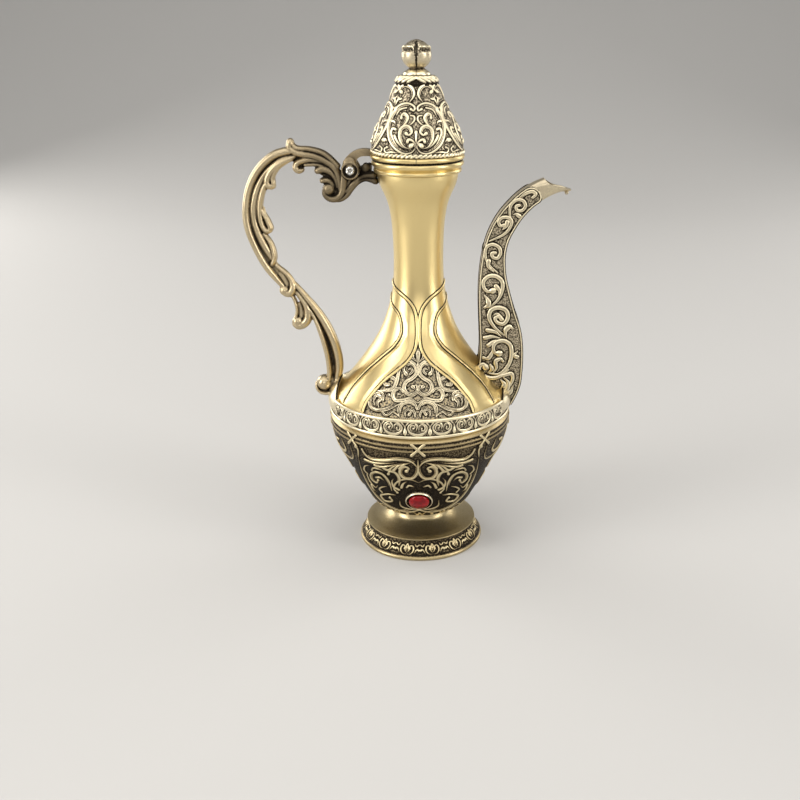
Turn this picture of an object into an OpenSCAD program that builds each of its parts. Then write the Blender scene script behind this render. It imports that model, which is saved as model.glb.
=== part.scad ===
// Dallah coffee pot: a footed bowl, a tall waisted neck, a curved spout, a cast
// scroll handle and a domed lid that swings on a rivet held by the handle.
// Units are millimetres and +Z is up. The origin is the centre of the face the
// pot stands on. The spout points along +X and the handle along -X.

/* [Pot] */
// Radius of the bowl just under the belt
bowl_r = 43.2; // [42.8:0.1:43.8]
// Thickness of the sheet of the bowl and of the neck
wall = 1.2; // [1.0:0.1:1.5]
// Radius of the bead around the bottom of the foot
foot_r = 31; // [30.4:0.1:32]
// Height of the mouth above the table
mouth_z = 189.4; // [189:0.1:189.5]

/* [Lid] */
// Radius of the lid's plain moulding
lid_r = 21.3; // [21:0.1:21.8]
// Depth of the ring under the lid that drops into the mouth
skirt_depth = 4; // [3:0.5:4]
// Gap between that ring and the inside of the mouth
skirt_gap = 0.4; // [0.3:0.05:0.6]
// Gap between the closed lid and the mouth
lid_gap = 0.2; // [0.2:0.05:0.3]

/* [Hinge] */
// Radius of the rivet
pin_r = 1.3; // [1.1:0.1:1.5]
// Running clearance around the rivet in the lid's knuckle
pin_clearance = 0.05; // [0.02:0.01:0.1]
// Width of the lid's strap between the two ears
strap_w = 4; // [3.6:0.1:4.2]
// Gap on each side of the strap
strap_gap = 0.2; // [0.15:0.05:0.3]
// Thickness of one ear
ear_t = 2.9; // [2.5:0.1:3.2]

/* [Spout and handle] */
// Scale of the spout's thickness from side to side
spout_thick = 1; // [0.9:0.05:1.1]
// Wall of the spout
spout_wall = 1.4; // [1.2:0.1:1.6]
// Scale of the handle's thickness from side to side
handle_thick = 1; // [0.9:0.05:1.1]

/* [Stones] */
// Radius of a stone
stone_r = 4.9; // [4.5:0.1:5.2]
// Height of the stones' centres above the table
stone_z = 33.4; // [32:0.2:35]

/* [Hidden] */
// Smoothness of turned faces
turn_fn = 96;
// Smoothness of small turned faces
small_fn = 48;
// Points in each curve between two control points
curve_steps = 3;
// Points around one section of a swept piece
loop_n = 16;
// Small overshoot for cuts that have to pass through a face
cut = 1;
// Radial play between cast pieces and the shell they are soldered to
solder = 0.02;

// Height of the seam between bowl and shoulder, hidden by the belt
seam_z = 75;
// Radius of the shell under the belt
seam_r = bowl_r - 1;
// Belt's lower and upper edges and its face
belt_lo = 71.2;
belt_hi = 79.2;
belt_r = bowl_r + 0.5;
belt_bead = 0.8;

// Bottom of the bowl, where it stands on the foot
foot_top = 17.2;
foot_neck_r = 14.8;
base_t = 1.2;
foot_wall = 1.5;
// Recess under the foot that holds the base plate
foot_in = foot_r - 2.4;
// Hole through the shoulder into the spout
pour_r = 4.2;
pour_z = 86;
// Where the hole starts and how long it is
pour_from = 24;
pour_l = 24;

// Neck and mouth
mouth_r = 18.4;
mouth_in = mouth_r - wall;

// Lid heights
lid_z = mouth_z + lid_gap;
lid_wall = 1.2;
rim_h = 2.5;
rope_z = lid_z + rim_h + 1;
rope_rr = 1.1;
dome_z = rope_z + 0.6;
dome_top = 223.6;
skirt_r = mouth_in - skirt_gap;

// Finial
crown_z = 222.4;
crown_r = 8.5;
crown_rr = 1.4;
button_z = 224;
button_r = 5.4;
stem_r = 3;
ball_z = 234.2;
ball_r = 6.6;
ball_h = 6.1;
screw_r = 1.5;
// Thick middle of the dome that the screw's head bears on
boss_z = dome_top - 1.6;
boss_r = 3.6;
screw_head_r = 2.8;
screw_head_t = 1.2;

// Hinge
pin_x = -30.2;
pin_z = 184.8;
ear_r = 4.1;
ear_in = strap_w / 2 + strap_gap;
ear_out = ear_in + ear_t;
knuckle_r = 3.5;
dish_r = 3.5;
dish_t = 0.8;
rivet_head_r = 2.2;
rivet_head_t = 0.7;
// Tops of the ears
ear_top_z = 187.2;
ear_top_r = 3.9;
// Bar from the ears to the collar, as [length, width, height]
lug = [12, 7.2, 5.6];
// Round pocket that the knuckle turns in
knuckle_room = 4.4;
// Edge of the slot for the strap, as [angle, radius] round the rivet
swing_line = [
    [20, 12.2], [50, 12.2], [80, 12.2], [110, 12.2], [126, 12.2],
    [133, 11.4], [139, 10.6], [148, 9.4], [157, 8.4], [169, 7.3],
    [181, 6.3], [192, 5.4], [203, 4.8]
];

// ---- curves -------------------------------------------------------------

// One point of the smooth curve through b and c
function through(a, b, c, d, t) =
    0.5 * (2 * b + (c - a) * t
        + (2 * a - 5 * b + 4 * c - d) * t * t
        + (3 * b - a - 3 * c + d) * t * t * t);

// The smooth curve through every control point
function smooth(p, n = curve_steps) = concat(
    [for (i = [0 : len(p) - 2])
        for (k = [0 : n - 1])
            through(p[max(i - 1, 0)], p[i], p[i + 1],
                    p[min(i + 2, len(p) - 1)], k / n)],
    [p[len(p) - 1]]
);

// A list read from its end to its start
function reversed(p) = [for (i = [len(p) - 1 : -1 : 0]) p[i]];

// Each [height, radius] point moved towards the axis by a wall's thickness
function inward(p, t) = [for (i = [0 : len(p) - 1])
    let (a = p[max(i - 1, 0)], b = p[min(i + 1, len(p) - 1)],
         run = b[0] - a[0], rise = b[1] - a[1])
    [p[i][0], p[i][1] - t * sqrt(1 + pow(rise / run, 2))]];

// [height, radius] points as the [radius, height] points of a turned section
function section(p) = [for (q = p) [q[1], q[0]]];

// Radii of the bowl and shoulder follow bowl_r
function wide(r) = r * bowl_r / 43.2;

// ---- turned outlines as [height, radius] --------------------------------

bowl_line = smooth([
    [foot_top, foot_neck_r], [18.6, wide(18)], [21, wide(21.7)],
    [25, wide(25.4)], [30, wide(28.5)], [36, wide(31.6)],
    [42.3, wide(34.6)], [48.5, wide(37.8)], [54, wide(40.6)],
    [59, wide(42.4)], [64, bowl_r], [68.4, bowl_r], [69.8, seam_r]
]);

shoulder_knots = [
    [seam_z, seam_r], [79, wide(41.6)], [82.5, wide(38)],
    [88.1, wide(33.2)], [95, wide(27.9)], [102.8, wide(22.5)],
    [110, 18.4], [117, 15.6], [124.1, 13.5], [131.1, 12.2],
    [140.8, 11.6], [151.7, 11.7], [162.4, 12.4], [170.3, 13.9],
    [175, 15.8], [178.5, 17.4], [181.5, 18.2], [183.5, mouth_r]
];
shoulder_line = smooth(shoulder_knots);

dome_line = smooth([
    [dome_z, lid_r - 0.4], [198.7, lid_r - 0.9], [202.1, lid_r - 1.9],
    [206.4, 17.5], [210.7, 14.9], [214.1, 13.1], [217.5, 11.9],
    [220.6, 10.8], [222.6, 9.4], [dome_top, 7.2]
]);

foot_line = smooth([
    [foot_top, foot_neck_r], [15, 15.6], [13, 18.2], [11.5, 22],
    [10.7, 25.4], [10.1, foot_r - 3.6]
]);

// ---- swept outlines in the plane of spout and handle ---------------------

// Body side of the spout as [x, z]
spout_in = smooth([
    [35, 70], [32, 78], [30, 86], [30.6, 99.8], [30.3, 109],
    [29.8, 118], [29.4, 129], [29.8, 139.7], [31.2, 149], [33.4, 156.8],
    [37, 163.9], [41.3, 169.3], [46.8, 174.4], [52.6, 178.6],
    [57.8, 181.2], [64, 183.4], [70, 183.4]
], 2);

// Far side of the spout as [x, z], one point for each point of spout_in
spout_out = smooth([
    [46.2, 70.5], [48.8, 77.5], [50.8, 86], [50.9, 101.5], [49.6, 110.5],
    [46.6, 119], [43.9, 128], [41.6, 137], [41.1, 146], [42.6, 152.8],
    [45.6, 158.4], [49.4, 163.5], [54, 168.3], [58.6, 171.4],
    [62.2, 173.1], [66.2, 174.2], [69.6, 174.9]
], 2);

// Half of the spout's thickness, one value for each point of spout_in
spout_half = smooth([
    4.6, 6, 7.2, 7.5, 7, 6.4, 5.7, 5.1, 4.7, 4.5, 4.3, 4.2, 4.2, 4.3,
    4.2, 3.4, 2.2
], 2);

// Middle of the handle's stem as [x, z], from the hinge to the bottom scroll
stem_line = smooth([
    [-33.6, 185.6], [-37.2, 188.6], [-43.5, 191.7], [-51, 192.6],
    [-58, 191.3], [-65.6, 187.6], [-72, 180.4], [-75.6, 170.6],
    [-75.9, 161], [-73.6, 151.4], [-69.4, 142], [-62.2, 132.4],
    [-53, 122.8], [-45.4, 112.6], [-40.7, 102], [-38.9, 92],
    [-39.6, 85.4], [-44, 81.4]
], 2);

// Half of the stem's width, one value for each point of stem_line
stem_half = smooth([
    2.4, 2.6, 2.7, 2.8, 3.4, 4.4, 4.9, 4.9, 4.6, 4.4, 4.6, 4.6, 4.5, 4.3,
    3.9, 3.6, 3.2, 2.6
], 2);

// Thumb scroll on top of the handle: [x, z, radius]
thumb_line = smooth([
    [-51, 193.2, 2.2], [-55, 194, 2.1], [-57, 196.2, 1.7],
    [-56.4, 198, 1.2]
], 2);

// Leaf that hangs inside the top of the handle
upper_leaf = smooth([
    [-58, 190, 2], [-65, 185.6, 2.2], [-69, 179.8, 2],
    [-68.4, 175.6, 1.8], [-65.6, 176, 1.5]
], 2);

// Leaf under the thumb scroll
middle_leaf = smooth([
    [-43, 190, 1.6], [-48.4, 190.6, 1.9], [-53.6, 189.2, 1.9],
    [-54.4, 185.9, 1.5], [-52, 185.4, 1.2]
], 2);

// Short leaf between that leaf and the hinge scroll
inner_leaf = smooth([
    [-37.4, 186.4, 1.8], [-41.4, 187.4, 1.8], [-45.4, 185.5, 1.4]
], 2);

// Scroll under the hinge that carries the bracket
hinge_scroll = smooth([
    [-31, 183, 3.4], [-33.2, 177.6, 2.6], [-34.4, 173.4, 2.3],
    [-37.6, 171.2, 1.9], [-41.2, 172.2, 1.8], [-42.3, 175.2, 1.7],
    [-40.6, 176.4, 2.2]
], 2);

// Bracket from that scroll up to the neck
bracket_line = smooth([
    [-34.6, 172.4, 1.7], [-30, 174.6, 1.8], [-25.6, 178.8, 2],
    [-21, 180.8, 2.2], [-17.4, 180.6, 2.4]
], 2);

// Two leaf curls on the outside of the handle and one on the inside
outer_curl = smooth([
    [-63, 134, 1.8], [-64.6, 129.4, 1.8], [-62.4, 126, 1.6],
    [-59.4, 126.8, 1.3]
], 2);
lower_curl = smooth([
    [-54, 124, 1.8], [-57.6, 118.6, 2], [-57.6, 112.4, 2],
    [-53.4, 110.8, 1.7], [-50.4, 115, 1.5]
], 2);
side_leaf = smooth([
    [-72, 166, 2], [-69.8, 160, 2], [-68.9, 155.8, 1.6]
], 2);

// Ball that ends the handle on the belt
foot_ball = smooth([
    [-42.5, 84.6, 1.5], [-43.2, 84, 3.6], [-45.1, 80.9, 4.2],
    [-47, 78, 3.6], [-47.6, 77, 1.5]
], 2);

// ---- swept solids --------------------------------------------------------

// Rounded-square loop: how far a point at angle a lies along one half axis
function flat_round(v, p) = sign(v) * pow(abs(v), p);

// One loop across the plane at middle m, half axis h in the plane and
// half thickness t across it
function loop_at(m, h, t, p) = [for (k = [0 : loop_n - 1])
    let (a = 360 * (k + 0.5) / loop_n,
         u = flat_round(cos(a), p), v = flat_round(sin(a), p))
    [m[0] + h[0] * u, t * v, m[1] + h[1] * u]];

// Skin joining a list of loops, closed with a fan of triangles at each end
module swept(loops) {
    n = len(loops[0]);
    m = len(loops) * n;
    ends = [loops[0], loops[len(loops) - 1]];
    points = concat(
        [for (l = loops) for (q = l) q],
        [for (e = ends) [for (i = [0 : n - 1]) 1] * e / n]
    );
    sides = [for (i = [0 : len(loops) - 2]) for (k = [0 : n - 1])
        let (a = i * n + k, b = i * n + (k + 1) % n)
        each [[a, b + n, b], [a, a + n, b + n]]];
    fans = [for (k = [0 : n - 1])
        let (j = (k + 1) % n)
        each [[m, k, j], [m + 1, m - n + j, m - n + k]]];
    polyhedron(points, concat(sides, fans));
}

// Pipe between a list of outer loops and a list of inner loops, open at both ends
module pipe(outer, inner) {
    n = len(outer[0]);
    m = len(outer) * n;
    e = m - n;
    points = concat([for (l = outer) for (q = l) q], [for (l = inner) for (q = l) q]);
    sides = [for (i = [0 : len(outer) - 2]) for (k = [0 : n - 1])
        let (a = i * n + k, b = i * n + (k + 1) % n)
        each [[a, b + n, b], [a, a + n, b + n],
              [m + a, m + b, m + b + n], [m + a, m + b + n, m + a + n]]];
    rims = [for (k = [0 : n - 1])
        let (j = (k + 1) % n)
        each [[k, j, m + j], [k, m + j, m + k],
              [e + k, m + e + j, e + j], [e + k, m + e + k, m + e + j]]];
    polyhedron(points, concat(sides, rims));
}

// Loops between two edge curves
function between(a, b, t, p, inset) = [for (i = [0 : len(a) - 1])
    let (m = (a[i] + b[i]) / 2, w = norm(b[i] - a[i]) / 2,
         u = (b[i] - a[i]) / (2 * w))
    loop_at(m, u * (w - inset), t[i] - inset, p)];

// Direction across a curve at its point i
function across(c, i) =
    let (a = c[max(i - 1, 0)], b = c[min(i + 1, len(c) - 1)],
         d = [b[0] - a[0], b[1] - a[1]])
    [d[1], -d[0]] / norm(d);

// Loops along [x, z, radius] points, as thick across as the scale s gives
function along(c, s) = [for (i = [0 : len(c) - 1])
    loop_at([c[i][0], c[i][1]], across(c, i) * c[i][2],
            c[i][2] * s * handle_thick, 1)];

// ---- shapes shared by several pieces --------------------------------------

// Space taken by the bowl
module bowl_space() {
    rotate_extrude($fn = turn_fn)
        polygon(concat(
            [[0, foot_top]],
            [for (q = section(bowl_line)) q + [solder, 0]],
            [[0, belt_lo]]
        ));
}

// Space taken by belt, shoulder and neck where spout and handle meet them
module shoulder_space(extra) {
    edge = belt_r + 0.3 + extra;
    top = belt_hi + belt_bead;
    rotate([0, 0, 90])
        rotate_extrude($fn = turn_fn)
            polygon(concat(
                [[0, 60], [edge, 60], [edge, top], [wide(40.7) + extra, top]],
                [for (q = section(shoulder_knots))
                    if (q[1] > top) q + [extra, 0]],
                [[mouth_r + extra, mouth_z], [0, mouth_z]]
            ));
}

// Ring with a round edge whose middle is at radius r and height z
module bead(r, z, rr) {
    translate([r, z])
        circle(r = rr, $fn = small_fn / 2);
}

// Piece placed on the bowl where a stone sits, with +Z out of the surface
module on_bowl(turn) {
    rotate([0, 0, turn])
        translate([0, -wide(30.3), stone_z])
            rotate([118, 0, 0])
                children();
}

// ---- pieces ---------------------------------------------------------------

// Flared pedestal with a bead around its edge, open underneath
module foot() {
    lip = foot_line[len(foot_line) - 1];
    color("darkgoldenrod")
        rotate_extrude($fn = turn_fn)
            polygon(concat(
                section(foot_line),
                [[lip[1] - 0.4, 9.3], [foot_r - 5.4, 8.8],
                 [foot_r - 4.6, 6.4], [foot_r - 3.2, 4],
                 [foot_r - 1.6, 2.3], [foot_r - 0.5, 2.1],
                 [foot_r, 1.6], [foot_r, 0.6], [foot_r - 0.5, 0],
                 [foot_in, 0], [foot_in, base_t],
                 [foot_r - 3.4, 2], [foot_r - 5.2, 3.4],
                 [foot_r - 6.8, 6], [foot_r - 7.6, 8.4]],
                [[17.6, 11.5], [foot_neck_r - 0.6, 13.6],
                 [foot_neck_r - foot_wall, foot_top]]
            ));
}

// Flat disc that closes the foot
module base_plate() {
    color("peru")
        cylinder(r = foot_in - solder, h = base_t, $fn = turn_fn);
}

// Lower half of the body
module bowl() {
    inside = [for (q = inward(bowl_line, wall))
        if (q[0] > foot_top + 3 && q[0] < belt_lo - 3) q];
    color("goldenrod")
        rotate_extrude($fn = turn_fn)
            polygon(concat(
                [[0, foot_top]],
                section(bowl_line),
                [[seam_r, seam_z], [seam_r - wall, seam_z],
                 [seam_r - wall, belt_lo - 1.8]],
                section(reversed(inside)),
                [[16, foot_top + 2], [13, foot_top + wall],
                 [0, foot_top + wall]]
            ));
}

// Settings that hold the stones, shaped to the bowl behind them
module stone_bezels() {
    color("gold")
        for (turn = [0, 180])
            difference() {
                on_bowl(turn)
                    difference() {
                        translate([0, 0, -3])
                            cylinder(r = stone_r + 1.5, h = 4.6, $fn = small_fn);
                        translate([0, 0, 0.4])
                            cylinder(r = stone_r, h = 4.6, $fn = small_fn);
                    }
                bowl_space();
            }
}

// Round cabochon stones
module stones() {
    dome_h = 2;
    seat_h = 0.9;
    color("red")
        for (turn = [0, 180])
            on_bowl(turn)
                translate([0, 0, 0.4])
                    rotate_extrude($fn = small_fn)
                        polygon(concat(
                            [[0, 0], [stone_r - solder, 0]],
                            [for (a = [0 : 10 : 90])
                                [(stone_r - solder) * cos(a),
                                 seat_h + dome_h * sin(a)]]
                        ));
}

// Belt over the seam between bowl and shoulder
module belt() {
    color("khaki")
        rotate_extrude($fn = turn_fn)
            difference() {
                union() {
                    translate([seam_r, belt_lo])
                        square([belt_r - seam_r - 0.4, belt_hi - belt_lo]);
                    bead(belt_r - belt_bead + 0.2, belt_lo, belt_bead);
                    bead(belt_r - belt_bead + 0.2, belt_hi, belt_bead);
                }
                translate([seam_r - 4, belt_lo - 2])
                    square([4, belt_hi - belt_lo + 4]);
                shoulder_edge();
            }
}

// Region taken by the shoulder just above the belt
module shoulder_edge() {
    polygon(concat(
        [[seam_r - 4, seam_z]],
        section([for (q = shoulder_line) if (q[0] < 84) q]),
        [[seam_r - 4, 84]]
    ));
}

// Upper half of the body with the neck, pierced where the spout joins
module shoulder_neck() {
    inside = inward(shoulder_line, wall);
    color("goldenrod")
        difference() {
            rotate_extrude($fn = turn_fn)
                polygon(concat(
                    section(shoulder_line),
                    [[mouth_r, mouth_z], [mouth_in, mouth_z]],
                    section(reversed([for (q = inside)
                        if (q[0] > seam_z + 3 && q[0] < 183) q])),
                    [[seam_r - wall, seam_z + 2], [seam_r - wall, seam_z]]
                ));
            translate([pour_from, 0, pour_z])
                rotate([0, 90, 0])
                    cylinder(r = pour_r, h = pour_l, $fn = small_fn);
        }
}

// Two beads turned around the mouth
module mouth_collar() {
    color("gold")
        rotate_extrude($fn = turn_fn)
            difference() {
                union() {
                    translate([mouth_r, mouth_z - 5.2])
                        square([0.9, 5.2]);
                    bead(mouth_r + 1.1, mouth_z - 1.4, 1.4);
                    bead(mouth_r + 0.4, mouth_z - 4.5, 1.1);
                }
                translate([mouth_r - 4, mouth_z - 8])
                    square([4, 9]);
            }
}

// Curved spout with an open channel, shaped to the body behind it
module spout() {
    mouth_cut = smooth([
        [57.4, 181.4], [58.8, 179.2], [61, 178], [64, 177.6],
        [67, 177.3], [69.8, 176], [72, 175.4]
    ], 2);
    half = spout_half * spout_thick;
    color("khaki")
        difference() {
            pipe(between(spout_in, spout_out, half, 0.62, 0),
                 between(spout_in, spout_out, half, 0.7, spout_wall));
            rotate([90, 0, 0])
                linear_extrude(height = 30, center = true)
                    polygon(concat(mouth_cut, [[76, 176], [76, 190], [56, 190]]));
            shoulder_space(solder);
        }
}

// Cast handle: stem, leaves, bracket, ears for the rivet and a lug to the collar
module handle() {
    color("peru")
        difference() {
            union() {
                swept([for (i = [0 : len(stem_line) - 1])
                    loop_at(stem_line[i],
                            across(stem_line, i) * stem_half[i],
                            (2.6 + stem_half[i] * 0.3) * handle_thick, 0.8)]);
                swept(along(thumb_line, 1.2));
                swept(along(upper_leaf, 1.3));
                swept(along(middle_leaf, 1.3));
                swept(along(inner_leaf, 1.3));
                swept(along(hinge_scroll, 1.3));
                swept(along(bracket_line, 1.2));
                swept(along(outer_curl, 1.2));
                swept(along(lower_curl, 1.2));
                swept(along(side_leaf, 1.2));
                swept(along(foot_ball, 1));
                translate([pin_x, 0, pin_z])
                    rotate([90, 0, 0])
                        cylinder(r = ear_r, h = 2 * ear_out, center = true,
                                 $fn = small_fn);
                translate([pin_x, 0, ear_top_z])
                    rotate([90, 0, 0])
                        cylinder(r = ear_top_r, h = 2 * ear_out, center = true,
                                 $fn = small_fn);
                translate([pin_x, -lug[1] / 2, pin_z - lug[2] / 2])
                    cube(lug);
            }
            translate([pin_x, 0, pin_z])
                rotate([90, 0, 0]) {
                    cylinder(r = pin_r, h = 4 * ear_out, center = true,
                             $fn = small_fn);
                    cylinder(r = knuckle_room, h = 2 * ear_in, center = true,
                             $fn = small_fn);
                    for (side = [-1, 1])
                        translate([0, 0, side * ear_out])
                            cylinder(r = dish_r, h = 2 * dish_t, center = true,
                                     $fn = small_fn);
                }
            strap_room();
            shoulder_space(5 * solder);
            collar_room();
        }
}

// Slot that the lid's strap swings in
module strap_room() {
    translate([pin_x, 0, pin_z])
        rotate([90, 0, 0])
            linear_extrude(height = 2 * ear_in, center = true)
                polygon(concat(
                    [[0, 0]],
                    [for (q = swing_line) q[1] * [cos(q[0]), sin(q[0])]]
                ));
}

// Room for the mouth's collar and for the lid above it
module collar_room() {
    translate([0, 0, mouth_z - 6])
        cylinder(r = mouth_r + 2.5 + 3 * solder, h = 30, $fn = turn_fn);
}

// Rivet through both ears and the knuckle, with a head in each dish
module hinge_rivet() {
    color("silver")
        translate([pin_x, 0, pin_z])
            rotate([90, 0, 0]) {
                cylinder(r = pin_r, h = 2 * (ear_out - dish_t), center = true,
                         $fn = small_fn);
                for (side = [0, 180])
                    rotate([side, 0, 0])
                        translate([0, 0, ear_out - dish_t])
                            cylinder(r1 = rivet_head_r, r2 = rivet_head_r - 0.6,
                                     h = rivet_head_t, $fn = small_fn);
            }
}

// Plain moulding with a rope ring at the bottom edge of the lid
module lid_rim() {
    color("gold")
        rotate_extrude($fn = turn_fn)
            difference() {
                union() {
                    translate([lid_r - 2.4, lid_z])
                        square([1.6, dome_z - lid_z]);
                    bead(lid_r - rim_h / 2, lid_z + rim_h / 2, rim_h / 2);
                    bead(lid_r - rope_rr, rope_z, rope_rr);
                }
                translate([lid_r - 6.4, lid_z - 1])
                    square([4, 12]);
                translate([lid_r - 6.4, dome_z])
                    square([8, 3]);
            }
}

// Ring under the lid that keeps it on the mouth
module lid_skirt() {
    ring = lid_r - 2.4;
    color("khaki")
        rotate_extrude($fn = turn_fn)
            polygon([
                [skirt_r - 0.7, lid_z - skirt_depth],
                [skirt_r, lid_z],
                [ring, lid_z],
                [ring, lid_z + 1],
                [skirt_r - 1.4, lid_z + 1],
                [skirt_r - 1.9, lid_z - skirt_depth]
            ]);
}

// Domed shell of the lid with the hole for the finial's screw
module lid_dome() {
    inside = inward(dome_line, lid_wall);
    color("goldenrod")
        rotate_extrude($fn = turn_fn)
            polygon(concat(
                section(dome_line),
                [[screw_r + solder, dome_top], [screw_r + solder, boss_z],
                 [boss_r, boss_z]],
                section(reversed([for (q = inside)
                    if (q[0] < dome_top - 2.6) q]))
            ));
}

// Arched strap from the lid's rim to the knuckle on the rivet
module lid_strap() {
    arch_top = smooth([
        [-32.4, 185.6], [-32.6, 187.6], [-32, 190], [-29.6, 192.4],
        [-26.4, 193.8], [-23.4, 194.1], [-19, 193.6]
    ], 2);
    arch_low = smooth([
        [-19, 190.6], [-23, 190.8], [-25.6, 190.6], [-27.4, 189.2],
        [-27.9, 187.4], [-28, 185.6]
    ], 2);
    color("peru")
        difference() {
            union() {
                rotate([90, 0, 0])
                    linear_extrude(height = strap_w, center = true)
                        polygon(concat(arch_top, arch_low));
                translate([pin_x, 0, pin_z])
                    rotate([90, 0, 0])
                        cylinder(r = knuckle_r, h = strap_w, center = true,
                                 $fn = small_fn);
            }
            translate([pin_x, 0, pin_z])
                rotate([90, 0, 0])
                    cylinder(r = pin_r + pin_clearance, h = strap_w + 2 * cut,
                             center = true, $fn = small_fn);
            translate([0, 0, lid_z - 1])
                cylinder(r = lid_r + solder, h = 12, $fn = turn_fn);
        }
}

// Rope ring around the top of the dome
module crown_ring() {
    color("gold")
        rotate_extrude($fn = turn_fn)
            difference() {
                bead(crown_r, crown_z + 0.4, crown_rr);
                polygon(concat([[0, 190]], section(dome_line), [[0, dome_top]]));
            }
}

// Turned button between the dome and the ball
module finial_button() {
    color("khaki")
        rotate_extrude($fn = small_fn)
            polygon([
                [screw_r + solder, dome_top], [5.8, dome_top], [6.4, button_z],
                [5.8, button_z + 0.6], [4.6, button_z + 0.9],
                [button_r, button_z + 1.8], [button_r, button_z + 2.6],
                [button_r - 0.8, button_z + 3.3], [stem_r, button_z + 3.8],
                [stem_r, ball_z - ball_h + 0.9],
                [screw_r + solder, ball_z - ball_h + 0.9]
            ]);
}

// Ball of the finial with a low point on top and a blind hole for the screw
module finial_ball() {
    flat = ball_z - ball_h + 0.9;
    color("goldenrod")
        rotate_extrude($fn = small_fn)
            polygon(concat(
                [[screw_r + solder, flat + 5], [screw_r + solder, flat]],
                [for (a = [-56 : 8 : 64])
                    [ball_r * cos(a), ball_z + ball_h * sin(a)]],
                [[1.2, ball_z + ball_h - 0.2], [0, ball_z + ball_h],
                 [0, flat + 5]]
            ));
}

// Screw from inside the lid that holds button and ball
module finial_screw() {
    flat = ball_z - ball_h + 0.9;
    color("silver") {
        translate([0, 0, boss_z])
            cylinder(r = screw_r, h = flat + 4.8 - boss_z, $fn = small_fn);
        translate([0, 0, boss_z - screw_head_t])
            cylinder(r = screw_head_r, h = screw_head_t, $fn = small_fn);
    }
}

foot();
base_plate();
bowl();
stone_bezels();
stones();
belt();
shoulder_neck();
mouth_collar();
spout();
handle();
hinge_rivet();
lid_rim();
lid_skirt();
lid_dome();
lid_strap();
crown_ring();
finial_button();
finial_ball();
finial_screw();
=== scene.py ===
"""Looks of the dallah coffee pot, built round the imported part.

Sizes are in millimetres while a piece is shaped; `finish_piece` turns them to metres.
The spout points along +X, the handle along -X, and the front panel faces -Y.
"""

import logging
import math
from dataclasses import dataclass, replace
from enum import Enum
from typing import Callable, Sequence, Union

import bpy
import numpy as np
from mathutils import Matrix, Vector
from mathutils.kdtree import KDTree


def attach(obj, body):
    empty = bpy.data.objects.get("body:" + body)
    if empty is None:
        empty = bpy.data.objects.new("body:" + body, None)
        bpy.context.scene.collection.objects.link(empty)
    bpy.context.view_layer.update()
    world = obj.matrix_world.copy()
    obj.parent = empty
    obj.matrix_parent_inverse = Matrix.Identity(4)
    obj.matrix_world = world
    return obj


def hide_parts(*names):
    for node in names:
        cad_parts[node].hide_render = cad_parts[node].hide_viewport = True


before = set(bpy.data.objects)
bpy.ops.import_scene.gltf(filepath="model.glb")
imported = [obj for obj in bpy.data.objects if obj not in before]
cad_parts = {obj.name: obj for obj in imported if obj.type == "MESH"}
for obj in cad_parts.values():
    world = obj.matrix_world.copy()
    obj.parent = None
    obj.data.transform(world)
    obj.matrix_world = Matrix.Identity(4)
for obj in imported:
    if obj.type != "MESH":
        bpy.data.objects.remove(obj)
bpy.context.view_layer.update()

LOG = logging.getLogger("dallah")
MM = 0.001
PIN = (-30.2, 184.8)
Flat = tuple[float, float]
Triple = tuple[float, float, float]
Rib = tuple[Triple, ...]
Colour = tuple[float, float, float, float]
Place = Callable[[np.ndarray], np.ndarray]
Piece = bpy.types.Object
Material = bpy.types.Material
Socket = bpy.types.NodeSocket
Value = Union[Socket, float, Sequence[float]]


# ---- choices


class Body(Enum):
    """The two bodies that the lid's hinge joins."""

    POT = "pot"
    LID = "lid"


class Slot(Enum):
    """Material slots of the part's record."""

    PLAIN = "plain_brass"
    RELIEF = "relief_brass"
    DARK = "dark_brass"
    HANDLE = "handle_brass"
    STEEL = "steel"
    STONE = "stone"


class Cut(Enum):
    """How a stroke swells on its way: half widths at even steps."""

    WIRE = (0.3, 0.34, 0.34, 0.3)
    EDGE = (0.4, 0.4)
    STEM = (0.2, 0.42, 0.48, 0.42)
    RIBBON = (0.25, 0.55, 0.66, 0.6, 0.45)
    LEAF = (0.2, 0.45, 0.8, 0.85, 0.25)
    FROND = (0.15, 0.35, 0.6, 0.7)
    SPEAR = (0.3, 0.4, 0.75, 0.95, 0.35)
    CROSS = (0.85, 0.6, 0.85)


# ---- finishes


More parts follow.
